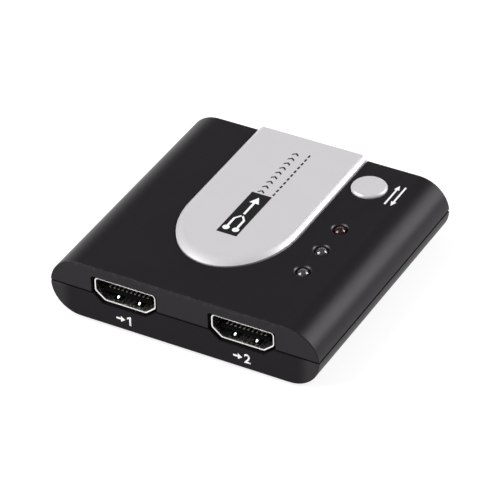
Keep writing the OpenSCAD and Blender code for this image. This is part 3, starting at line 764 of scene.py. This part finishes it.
def buildTopPlate():
    size = plateSizes
    seat = topZ - size["sink"]
    level, half, tip = plateTop - size["shoulder"], plateHalf, size["noseLength"]
    plate = plateBlank("silver_plate", 0, seat, level, plateHigh.y)
    for step in range(1, size["shoulderSteps"] + 1):  # a shoulder, steep at the sides, gentle at the nose
        run = step / size["shoulderSteps"]
        nextLevel = plateTop - size["shoulder"] * (1 - run) ** size["shoulderPower"]
        nextHalf = plateHalf - size["sideRun"] * run
        nextTip = size["noseLength"] - size["noseRun"] * run
        pick(plate, "FACE", lambda f: facesUp(f) and onPlane(f, 2, level))
        pullOut((0, 0, nextLevel - level))
        resize((nextHalf / half, 1, 1), (plateX, noseY, nextLevel))
        pick(plate, "VERT", lambda v: isNose(v, nextLevel))
        resize((1, nextTip / tip, 1), (plateX, noseY, nextLevel))
        level, half, tip = nextLevel, nextHalf, nextTip
    for step in range(size["shoulderSteps"]):  # the shoulder hangs lower towards the tip of the nose
        fall = (1 - step / size["shoulderSteps"]) ** size["shoulderPower"]
        level = plateTop - size["shoulder"] * fall
        turn = math.atan(size["droop"] * fall / size["noseLength"])
        pick(plate, "VERT", lambda v: isNose(v, level))
        bpy.ops.transform.rotate(value=-turn, orient_axis="X", center_override=(plateX, noseY, level))
    pick(plate, "FACE", lambda f: facesFrontRear(f) and f.normal.y > 0)
    bpy.ops.mesh.dissolve_faces()
    roundEdges(plate, lambda e: onPlane(e, 1, plateHigh.y) and min(v.co.z for v in e.verts) > seat + near,
               *size["rearEdge"])
    carveRound(plate, pegPlaces, pegSizes["radius"], ceilingZ - pegSizes["head"], (seat + plateTop) / 2,
               pegSizes["sides"], "UNION")
    smooth(plate)
    return plate


# select button: a dished cap, a flange under the ceiling of the case and a stem down to the plunger

buttonSizes = {"radius": 4 * mm, "gap": 0.15 * mm, "sides": 96, "edge": (0.62 * mm, 6, 0.42),
               "flange": 0.9 * mm, "stemRadius": 1.5 * mm, "dish": 0.06 * mm,
               "dishSteps": ((0.5 * mm, 0.3), (0.6 * mm, 0.4), (0.9 * mm, 0.3))}
buttonPlace = ((buttonLow.x + buttonHigh.x) / 2, (buttonLow.y + buttonHigh.y) / 2)


def buildButton():
    size = buttonSizes
    cap = addCylinder("round_button", size["radius"], ceilingZ, buttonHigh.z, buttonPlace, size["sides"])
    roundEdges(cap, lambda e: onPlane(e, 2, buttonHigh.z), *size["edge"])
    pick(cap, "FACE", lambda f: facesUp(f) and isRoundEnd(f))
    for rim, share in size["dishSteps"]:
        inset(rim, -share * size["dish"])
    pick(cap, "FACE", facesDown)
    flangeRadius = (buttonHigh.x - buttonLow.x) / 2
    grown = flangeRadius / size["radius"]
    pullOut((0, 0, 0))
    resize((grown, grown, 1), (*buttonPlace, ceilingZ))
    pullOut((0, 0, -size["flange"]))
    inset(flangeRadius - size["stemRadius"])
    pullOut((0, 0, buttonLow.z - ceilingZ + size["flange"]))
    endEdit()
    faceOutwards(cap)
    smooth(cap)
    return cap


# lamps: a domed lens with a flange, over a lead frame with a cup on one post and a bare post beside it

lampSizes = {"radius": 1.5 * mm, "holeGap": 0.2 * mm, "chamfer": 0.3 * mm, "flangeThick": 1 * mm,
             "sides": 48, "rings": 24}
lampNodes = ("input_1_lamp", "input_2_lamp", "power_lamp")
cupSizes = {"radius": 0.55 * mm, "height": 0.8 * mm, "sides": 32, "rim": 0.06 * mm, "slope": 0.25 * mm,
            "depth": 0.35 * mm, "below": 1.9 * mm, "stem": 0.3125 * mm, "post": 0.5 * mm, "gap": 0.35 * mm,
            "foot": 0.5 * mm, "postDrop": 0.1 * mm, "edge": (0.06 * mm, 2)}


def buildLens(node):
    size = lampSizes
    low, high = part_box(node)
    middle = middleOf(node)
    level = high.z - size["radius"]
    bpy.ops.mesh.primitive_uv_sphere_add(
        segments=size["sides"], ring_count=size["rings"], radius=size["radius"],
        location=(middle.x, middle.y, level))
    lens = startPiece(node + "_lens")
    cutAway(lens, (0, 0, level), (0, 0, 1), inner=True)
    pick(lens, "EDGE", lambda e: onPlane(e, 2, level))
    flangeTop = low.z + size["flangeThick"]
    grown = (high.x - low.x) / 2 / size["radius"]
    pullOut((0, 0, flangeTop - level))
    pullOut((0, 0, 0))
    resize((grown, grown, 1), (middle.x, middle.y, flangeTop))
    pullOut((0, 0, -size["flangeThick"]))
    bpy.ops.mesh.edge_face_add()
    endEdit()
    faceOutwards(lens)
    smooth(lens)
    return lens


def buildLampCup(node):
    size = cupSizes
    low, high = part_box(node)
    x, y = middleOf(node).xy
    foot, top = low.z + size["foot"], high.z - size["below"]
    cup = addCylinder(node + "_cup", size["radius"], top - size["height"], top, (x - size["gap"], y),
                      size["sides"])
    pick(cup, "FACE", facesUp)
    inset(size["rim"])
    inset(size["slope"], -size["depth"])
    pick(cup, "FACE", facesDown)
    inset(size["radius"] - size["stem"])
    pullOut((0, 0, foot - top + size["height"]))
    endEdit()
    post = addBox("post", (x + size["gap"], y - size["post"] / 2, foot),
                  (x + size["gap"] + size["post"], y + size["post"] / 2, top - size["postDrop"]))
    roundEdges(post, None, *size["edge"])
    joinPieces(cup, post)
    smooth(cup)
    return cup


# receptacle sleeves, bent from sheet, with four spring fingers, four legs and a window at the rear

fingerSizes = {"offset": 2.55 * mm, "width": 1.5 * mm, "root": 7 * mm, "hold": 0.4 * mm, "tip": 1.3 * mm,
               "bump": (1.8 * mm, 2.5 * mm), "dip": 0.55 * mm, "tipDip": 0.1 * mm, "slot": 0.3 * mm,
               "taper": 0.36, "tipShare": 0.8, "edge": 0.05 * mm, "edgeSteps": 2, "edgeAngle": 40}
legSizes = {"width": 1 * mm, "places": (4.2 * mm, 9 * mm), "lap": 0.4 * mm, "edge": (0.1 * mm, 2)}
windowSizes = {"width": 9.7 * mm, "start": 10.3 * mm, "rise": 1.1 * mm}


def springFinger(middle, up):  # a strip that leaves the wall at its root, dips and curls back at its tip
    size = fingerSizes
    wall = middle.z + up * (portSizes["height"] / 2)
    bpy.ops.mesh.primitive_plane_add(
        size=1, location=(middle.x, middle.y + size["root"] + size["hold"] / 2, wall))
    finger = startPiece("finger", (size["width"], size["hold"], 1))
    pick(finger, "EDGE", lambda e: onPlane(e, 1, middle.y + size["root"]))
    lastY, lastDip = size["root"], 0
    for y, dip, narrow in ((size["bump"][1], size["dip"], size["taper"]), (size["bump"][0], size["dip"], 1),
                           (size["tip"], size["tipDip"], size["tipShare"])):
        pullOut((0, y - lastY, -up * (dip - lastDip)))
        resize((narrow, 1, 1), (middle.x, middle.y + y, wall))
        lastY, lastDip = y, dip
    pick(finger, "FACE")
    bpy.ops.mesh.normals_make_consistent(inside=False)
    if sum(face.normal.z for face in finger.data.polygons) * up < 0:
        bpy.ops.mesh.flip_normals()
    endEdit()
    useModifier(finger, "SOLIDIFY", thickness=portSizes["sheet"], offset=1)
    useModifier(finger, "BEVEL", width=size["edge"], segments=size["edgeSteps"], limit_method="ANGLE",
                angle_limit=math.radians(size["edgeAngle"]))
    return finger


def sleeveLeg(x, y, low, high):
    size = legSizes
    wide, deep = portSizes["sheet"] / 2, size["width"] / 2
    leg = addBox("leg", (x - wide, y - deep, low), (x + wide, y + deep, high))
    roundEdges(leg, lambda e: onPlane(e, 2, low), *size["edge"])
    return leg


def facesMiddle(edge, middle):  # an edge of the sleeve's inside, seen from its mouth
    wall = min(edge.link_faces, key=lambda f: abs(f.normal.y))
    return wall.normal.dot(middle - wall.calc_center_median()) > 0


def buildSleeve(port):
    size, finger, window = portSizes, fingerSizes, windowSizes
    middle = portPlace(port)[0]
    tall = size["height"]
    sleeve = keyedPrism(port + "_shell", middle, 0, size["length"])
    pick(sleeve, "FACE", facesFrontRear)
    bpy.ops.mesh.delete(type="FACE")
    endEdit()
    useModifier(sleeve, "SOLIDIFY", thickness=size["sheet"], offset=1, use_even_offset=True)
    for inner, edge in ((True, size["mouthChamfer"]), (False, size["mouthBreak"])):
        roundEdges(sleeve, lambda e: onPlane(e, 1, middle.y) and isCrease(e, facesFrontRear, runsAlongY)
                   and facesMiddle(e, middle) == inner, edge, size["mouthSteps"])
    ceiling, reach = middle.z + tall / 2, size["mouthChamfer"] + near
    pick(sleeve, "VERT", lambda v: v.co.y - middle.y < reach and -near < v.co.z - ceiling < reach)
    resize((1, size["topShare"], size["topShare"]), (middle.x, middle.y, ceiling))  # wider chamfer at the top
    endEdit()
    half = finger["width"] / 2 + finger["slot"]
    for side in (-1, 1):
        x = middle.x + side * finger["offset"]
        carve(sleeve, addBox("cutter", (x - half, middle.y + finger["tip"] - finger["slot"], middle.z - tall),
                             (x + half, middle.y + finger["root"], middle.z + tall)))
    half = window["width"] / 2
    carve(sleeve, addBox("cutter", (middle.x - half, middle.y + window["start"], middle.z - tall),
                         (middle.x + half, middle.y + 2 * size["length"],
                          middle.z - tall / 2 + window["rise"])))
    parts = []
    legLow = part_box(port + "_sleeve")[0].z
    for side in (-1, 1):
        place = middle + Vector((side * finger["offset"], 0, 0))
        parts += [springFinger(place, -1), springFinger(place, 1)]
        x = middle.x + side * (size["width"] + size["sheet"]) / 2
        for y in legSizes["places"]:
            parts.append(sleeveLeg(x, middle.y + y, legLow, ceiling - size["sideHeight"] + legSizes["lap"]))
    joinPieces(sleeve, *parts)
    smooth(sleeve)
    return sleeve


# snap dome under the plunger, in its resting shape (the real one flattens as the plunger goes down)

domeSizes = {"sheet": 0.1 * mm, "skirt": 0.2 * mm, "sides": 64, "rings": 72, "pressed": 0.2}


def buildSnapDome():
    size = domeSizes
    low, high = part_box("tact_dome")
    reach, rise = (high.x - low.x) / 2, high.z - low.z
    radius = (reach ** 2 + rise ** 2) / (2 * rise)
    x, y = middleOf("tact_dome").xy
    bpy.ops.mesh.primitive_uv_sphere_add(
        segments=size["sides"], ring_count=size["rings"], radius=radius, location=(x, y, high.z - radius))
    dome = startPiece("snap_dome")
    cutAway(dome, (x, y, low.z - size["skirt"]), (0, 0, 1), inner=True)
    useModifier(dome, "SOLIDIFY", thickness=size["sheet"], offset=-1)
    carve(dome, addBox("cutter", (x - 2 * reach, y - 2 * reach, low.z - past),
                       (x + 2 * reach, y + 2 * reach, low.z)))
    smooth(dome)
    return dome


# printed marks, a film of ink on the surface

flatSizes = {"dotSides": 40, "pointShare": 0.02, "capShare": 0.69, "bold": 0.03, "curveSteps": 6}


def flatBar(name, x0, x1, y0, y1):  # a flat strip in the XY plane
    bpy.ops.mesh.primitive_plane_add(size=1, location=((x0 + x1) / 2, (y0 + y1) / 2, 0))
    return startPiece(name, (x1 - x0, y1 - y0, 1))


def flatArrow(name, size, x, y):  # starts at a place and points along +X
    neck = size["length"] - size["headLength"]
    arrow = flatBar(name, 0, neck, -size["shaft"] / 2, size["shaft"] / 2)
    pick(arrow, "EDGE", lambda e: onPlane(e, 0, neck))
    pullOut((0, 0, 0))
    resize((1, size["head"] / size["shaft"], 1), (neck, 0, 0))
    pullOut((size["headLength"], 0, 0))
    resize((1, flatSizes["pointShare"], 1), (size["length"], 0, 0))
    endEdit()
    arrow.data.transform(Matrix.Translation((x, y, 0)))
    return arrow


def flatDot(name, radius, x, y):
    bpy.ops.mesh.primitive_circle_add(
        vertices=flatSizes["dotSides"], radius=radius, fill_type="NGON", location=(x, y, 0))
    return startPiece(name)


def flatNumber(name, text, height, x):
    bpy.ops.object.text_add(location=(0, 0, 0))
    label = bpy.context.active_object
    label.data.body = text
    label.data.size = height / flatSizes["capShare"]
    label.data.offset = height * flatSizes["bold"]
    label.data.resolution_u = flatSizes["curveSteps"]
    bpy.ops.object.convert(target="MESH")
    bpy.ops.object.origin_set(type="ORIGIN_GEOMETRY", center="BOUNDS")
    bpy.context.active_object.location = (x, 0, 0)
    return startPiece(name)


def inRow(piece, count, step):  # a piece and its copies, along X
    return [piece] + [copyPiece(piece, piece.name, Matrix.Translation((index * step, 0, 0)))
                      for index in range(1, count)]


def setMark(piece, x, y, z, axis="Z"):  # gives a flat mark its film thickness and puts it on a surface
    faceOutwards(piece)
    pick(piece, "FACE")
    pullOut((0, 0, inkSizes["film"] + inkSizes["sunk"]))
    endEdit()
    faceOutwards(piece)
    piece.data.transform(Matrix.Translation((x, y, z)) @ Matrix.Rotation(quarterTurn, 4, axis)
                         @ Matrix.Translation((0, 0, -inkSizes["sunk"])))
    return piece


frontMark = {"z": 2.65 * mm, "height": 2.2 * mm, "numberX": 1.25 * mm, "flag": 0.55 * mm,
             "flagDrop": 0.4 * mm, "flagSunk": 0.1 * mm, "arrowX": -2.1 * mm, "length": 2.125 * mm,
             "shaft": 0.45 * mm, "head": 1.5 * mm, "headLength": 1.02 * mm}


def addFlag(number):  # the font's 1 is a bare bar
    size = frontMark
    left = min(v.co.x for v in number.data.vertices)
    top = max(v.co.y for v in number.data.vertices)
    flag = flatBar("flag", left - size["flag"], left + size["flagSunk"], top - size["shaft"], top)
    pick(flag, "VERT", lambda v: v.co.x < left - size["flag"] / 2)
    bpy.ops.transform.translate(value=(0, -size["flagDrop"], 0))
    endEdit()
    joinPieces(number, flag)


def buildPortMark(port, text):  # an arrow and a number under an input
    size = frontMark
    number = flatNumber("port_mark_" + text, text, size["height"], size["numberX"])
    if text == "1":
        addFlag(number)
    joinPieces(number, flatArrow("arrow", size, size["arrowX"], 0))
    return setMark(number, portPlace(port)[0].x, -halfDeep, undersideZ + size["z"], "X")


buttonMark = {"x": 23.5 * mm, "y": 21.05 * mm, "length": 7.4 * mm, "shaft": 0.42 * mm, "head": 1.25 * mm,
              "headLength": 1.6 * mm, "apart": 0.72 * mm}


def buildButtonMark():  # two arrows, there and back
    size = buttonMark
    mark = flatArrow("button_mark", size, -size["length"] / 2, size["apart"])
    joinPieces(mark, copyPiece(mark, "arrow", Matrix.Rotation(math.pi, 4, "Z")))
    return setMark(mark, size["x"], size["y"], topZ)


plateMark = {"x": -1.375 * mm, "y": -0.675 * mm, "wide": 4.85 * mm, "long": 15.85 * mm}
routeMark = {"dot": 0.78 * mm, "dotX": -5.9 * mm, "lane": 1.15 * mm, "laneStart": -5.2 * mm,
             "bend": -2.2 * mm, "slant": 1.5 * mm, "slantPart": 0.05 * mm, "tail": 0.4 * mm,
             "tailPart": 0.1 * mm, "arrowX": -0.5 * mm, "length": 7 * mm, "shaft": 0.55 * mm,
             "head": 2.3 * mm, "headLength": 2.2 * mm}
chevronMark = {"start": 8.9 * mm, "step": 1.95 * mm, "count": 9, "half": 0.75 * mm, "arm": 0.5 * mm,
               "slope": 0.6 * mm, "y": 0.65 * mm}
dashMark = {"start": 8.5 * mm, "step": 1.6 * mm, "count": 11, "long": 1 * mm, "half": 0.22 * mm,
            "round": 0.132 * mm, "roundSteps": 3, "y": -2.3 * mm}


def setPlateMark(piece, lift=0):  # marks on the plate run along +Y
    return setMark(piece, plateMark["x"], plateMark["y"], plateTop + lift)


def buildPlateBadge():
    size = plateMark
    x, y = size["long"] / 2, size["wide"] / 2
    return setPlateMark(flatBar("plate_badge", -x, x, -y, y))


def buildRouteMark():  # two lanes that meet in one, their bends a little apart
    size = routeMark
    parts = []
    for side in (-1, 1):
        y = side * size["lane"]
        parts.append(flatDot("plate_route", size["dot"], size["dotX"], y))
        lane = flatBar("lane", size["laneStart"], size["bend"], y - size["shaft"] / 2, y + size["shaft"] / 2)
        pick(lane, "EDGE", lambda e: onPlane(e, 0, size["bend"]))
        pullOut((size["slant"] + side * size["slantPart"], -y, 0))
        pullOut((size["tail"] + side * size["tailPart"], 0, 0))
        endEdit()
        parts.append(lane)
    parts.append(flatArrow("arrow", size, size["arrowX"], 0))
    return setPlateMark(joinPieces(*parts), inkSizes["film"])


def buildPlateTrail():  # a row of chevrons beside a row of dashes
    size = chevronMark
    y = size["y"]
    chevron = flatBar("plate_trail", size["start"], size["start"] + size["arm"], y - size["half"], y)
    pick(chevron, "EDGE", lambda e: onPlane(e, 1, y - size["half"]))
    bpy.ops.transform.translate(value=(-size["slope"], 0, 0))
    pick(chevron, "EDGE", lambda e: onPlane(e, 1, y))
    pullOut((-size["slope"], size["half"], 0))
    endEdit()
    parts = inRow(chevron, size["count"], size["step"])
    size = dashMark
    y = size["y"]
    dash = flatBar("dash", size["start"], size["start"] + size["long"], y - size["half"], y + size["half"])
    pick(dash, "VERT")
    bpy.ops.mesh.bevel(offset=size["round"], segments=size["roundSteps"], affect="VERTICES")
    endEdit()
    parts += inRow(dash, size["count"], size["step"])
    return setPlateMark(joinPieces(*parts))


# build and dress the pieces

plasticUpper = blackPlastic(
    "satinBlackUpper", (0.0110, 0.0094, 0.0110), roughness=0.36, gloss=0.16, polish=0.0, shadeAboveZ=topZ + past,
    holes=[middleOf(node) for node in lampNodes])
plasticLower = blackPlastic(
    "satinBlackLower", (0.0073, 0.0061, 0.0073), roughness=0.58, gloss=0.11, polish=0.35, shadeAboveZ=grooveZ)
silver = silverPaint("silverPaint")
sleeveSteel = plainMetal("sleeveSteel", (0.90, 0.89, 0.88, 1), 0.24, (4000, 500, 4000))
screwSteel = plainMetal("screwSteel", (0.42, 0.42, 0.43, 1), 0.34, (3000, 3000, 900))
footRubber = mattePlastic("footRubber", (0.018, 0.018, 0.019, 1), 0.82, 5200, 0.02 * mm)
clearEpoxy = lensEpoxy("clearEpoxy", (0.27, 0.25, 0.265, 1), 1.6)
redEpoxy = lensEpoxy("redEpoxy", (0.19, 0.010, 0.045, 1), 1.1)
tinLead = plainMetal("tinLead", (0.70, 0.70, 0.71, 1), 0.3, (3000, 3000, 800))
domeSteel = plainMetal("domeSteel", (0.62, 0.58, 0.48, 1), 0.25, (3000, 3000, 3000))
whiteInk = printInk("whiteInk", (0.88, 0.88, 0.88, 1), 0.42)
blackInk = printInk("blackInk", (0.004, 0.004, 0.0045, 1), 0.5)

mount(buildUpperShell(), "case_black", plasticUpper, "upper_shell")
mount(buildLowerShell(), "case_black", plasticLower, "lower_shell")
print("shells built")
mount(buildTopPlate(), "silver_paint", silver, "top_plate")
mount(buildButton(), "silver_paint", silver, "select_button", body="button")
print("plate and button built")
for node in lampNodes:
    slot, finish = ("lamp_red", redEpoxy) if node == "power_lamp" else ("lamp_clear", clearEpoxy)
    mount(buildLens(node), slot, finish, node)
    mount(buildLampCup(node), "tin_lead", tinLead)
print("lamps built")

firstSleeve = buildSleeve(ports[0])
firstPlace = portPlace(ports[0])[0]
mount(firstSleeve, "sleeve_steel", sleeveSteel, ports[0] + "_sleeve")
for port in ports[1:]:
    place, inwards = portPlace(port)
    facing = Matrix.Rotation(0 if inwards > 0 else math.pi, 4, "Z")
    sleeve = copyPiece(firstSleeve, port + "_shell",
                       Matrix.Translation(place) @ facing @ Matrix.Translation(-firstPlace))
    mount(sleeve, "sleeve_steel", sleeveSteel, port + "_sleeve")
print("sleeves built")

snapDome = mount(buildSnapDome(), "dome_steel", domeSteel, "tact_dome")
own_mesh(snapDome)
print("snap dome built")

for first, name, places, slot, finish, node in (
    (buildScrew(screwPlaces[0]), "case_screw_", screwPlaces, "screw_steel", screwSteel, "case_screws"),
    (buildFoot(footPlaces[0]), "foot_", footPlaces, "foot_rubber", footRubber, "rubber_feet"),
):
    for index, place in enumerate(places):
        shift = Matrix.Translation((place[0] - places[0][0], place[1] - places[0][1], 0))
        piece = copyPiece(first, name + str(index + 1), shift) if index else first
        mount(piece, slot, finish, node)
print("screws and feet built")

mount(buildPortMark("input_1", "1"), "case_black", whiteInk)
mount(buildPortMark("input_2", "2"), "case_black", whiteInk)
mount(buildButtonMark(), "case_black", whiteInk)
mount(buildPlateBadge(), "silver_paint", blackInk)
mount(buildRouteMark(), "silver_paint", whiteInk)
mount(buildPlateTrail(), "silver_paint", blackInk)
print("marks built")

# finishes of the nodes that keep their own shape

insulatorBlack = mattePlastic("insulatorBlack", (0.003, 0.003, 0.0032, 1), 0.7, gloss=0.03)
contactGold = plainMetal("contactGold", (0.86, 0.79, 0.66, 1), 0.34, (900, 4000, 4000), (0.5, 0.4, 0.25, 1))
chipBlack = mattePlastic("chipBlack", (0.016, 0.016, 0.018, 1), 0.6)
canAluminium = plainMetal("canAluminium", (0.72, 0.73, 0.74, 1), 0.3, (600, 600, 5000))
ceramicTan = mattePlastic("ceramicTan", (0.42, 0.28, 0.15, 1), 0.55)
boardGreen = solderMask("boardGreen")
keptNodes = {
    "circuit_board": boardGreen, "bulk_capacitor": canAluminium, "ceramic_capacitors": ceramicTan,
    "tact_base": chipBlack, "tact_plunger": chipBlack, "tact_cover": sleeveSteel,
    "resistors": chipBlack, "switch_chip": chipBlack, "memory_chip": chipBlack, "regulator": chipBlack,
    "lamp_leads": tinLead, "tact_terminals": tinLead, "switch_chip_leads": tinLead,
    "memory_chip_leads": tinLead, "regulator_leads": tinLead,
}
for port in ports:
    keptNodes[port + "_insulator"] = insulatorBlack
    keptNodes[port + "_contacts"] = contactGold
for node, finish in keptNodes.items():
    dress(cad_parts[node], finish)
print("kept nodes finished")

# floor, light and camera, in metres, watts and degrees

studio = {"floorSize": 6.0, "floorGlow": 0.72, "floorShades": (0.40, 0.43), "world": 0.22}
softboxes = {
    "overheadSoftbox": {"place": (0.1, -0.15, 1.3), "aim": (0, 0, 0), "size": (1.3, 1.3), "watts": 0.5},
    "leftSoftbox": {"place": (-0.67, -0.56, 0.64), "aim": (0, 0, 0.01), "size": (0.7, 0.9), "watts": 14},
    "flankSoftbox": {"place": (0.67, 0.64, 0.51), "aim": (0, 0, 0.01), "size": (0.60, 0.74), "watts": 10.8},
    "horizonSoftbox": {"place": (-0.5, 1.15, 0.14), "aim": (0, 0, 0.01), "size": (1.2, 0.24), "watts": 1.4},
}
# the photograph's viewing angle, worked out from the case's corners in a 500 by 500 frame
view = {"azimuth": 29.786, "elevation": 36.204, "roll": -1.780, "distance": 713.976 * mm,
        "across": -0.698 * mm, "up": 4.583 * mm, "focalPixels": 3324.39, "framePixels": 500, "sensor": 36,
        "clip": (0.05, 20)}


def buildFloor():
    bpy.ops.mesh.primitive_plane_add(size=studio["floorSize"], location=(0, 0, 0))
    floor = startPiece("floor")
    finish, place, shader = newFinish(
        "paleFloor", Specular_IOR_Level=0.1, Emission_Color=grey(1), Emission_Strength=studio["floorGlow"])
    soft = place.noise(3, 2)
    feed(shader, Base_Color=soft.tint(*(grey(shade) for shade in studio["floorShades"])),
         Roughness=0.75 + soft * 0.1)
    dress(floor, finish)


def addSoftbox(name, place, aim, size, watts):
    light = bpy.data.lights.new(name, "AREA")
    light.shape = "RECTANGLE"
    light.size, light.size_y = size
    light.energy = watts
    box = bpy.data.objects.new(name, light)
    box.location = place
    box.rotation_euler = (Vector(aim) - Vector(place)).to_track_quat("-Z", "Y").to_euler()
    scene.collection.objects.link(box)


def addCamera():
    azimuth, elevation, roll = (math.radians(view[key]) for key in ("azimuth", "elevation", "roll"))
    data = bpy.data.cameras.new("camera")
    data.sensor_width = view["sensor"]
    data.lens = view["focalPixels"] * view["sensor"] / view["framePixels"]
    data.clip_start, data.clip_end = view["clip"]
    camera = bpy.data.objects.new("camera", data)
    camera.matrix_world = (Matrix.Translation((0, 0, undersideZ)) @ Matrix.Rotation(azimuth, 4, "Z")
                           @ Matrix.Rotation(quarterTurn - elevation, 4, "X") @ Matrix.Rotation(roll, 4, "Z")
                           @ Matrix.Translation((view["across"], view["up"], view["distance"])))
    scene.collection.objects.link(camera)
    scene.camera = camera


buildFloor()
for name, box in softboxes.items():
    addSoftbox(name, **box)
world = bpy.data.worlds.new("studio")
world.use_nodes = True
world.node_tree.nodes["Background"].inputs["Color"].default_value = grey(studio["world"])
scene.world = world
scene.view_settings.view_transform = "Standard"
scene.view_settings.look = "None"
addCamera()
print("stage set")

clearSelection()
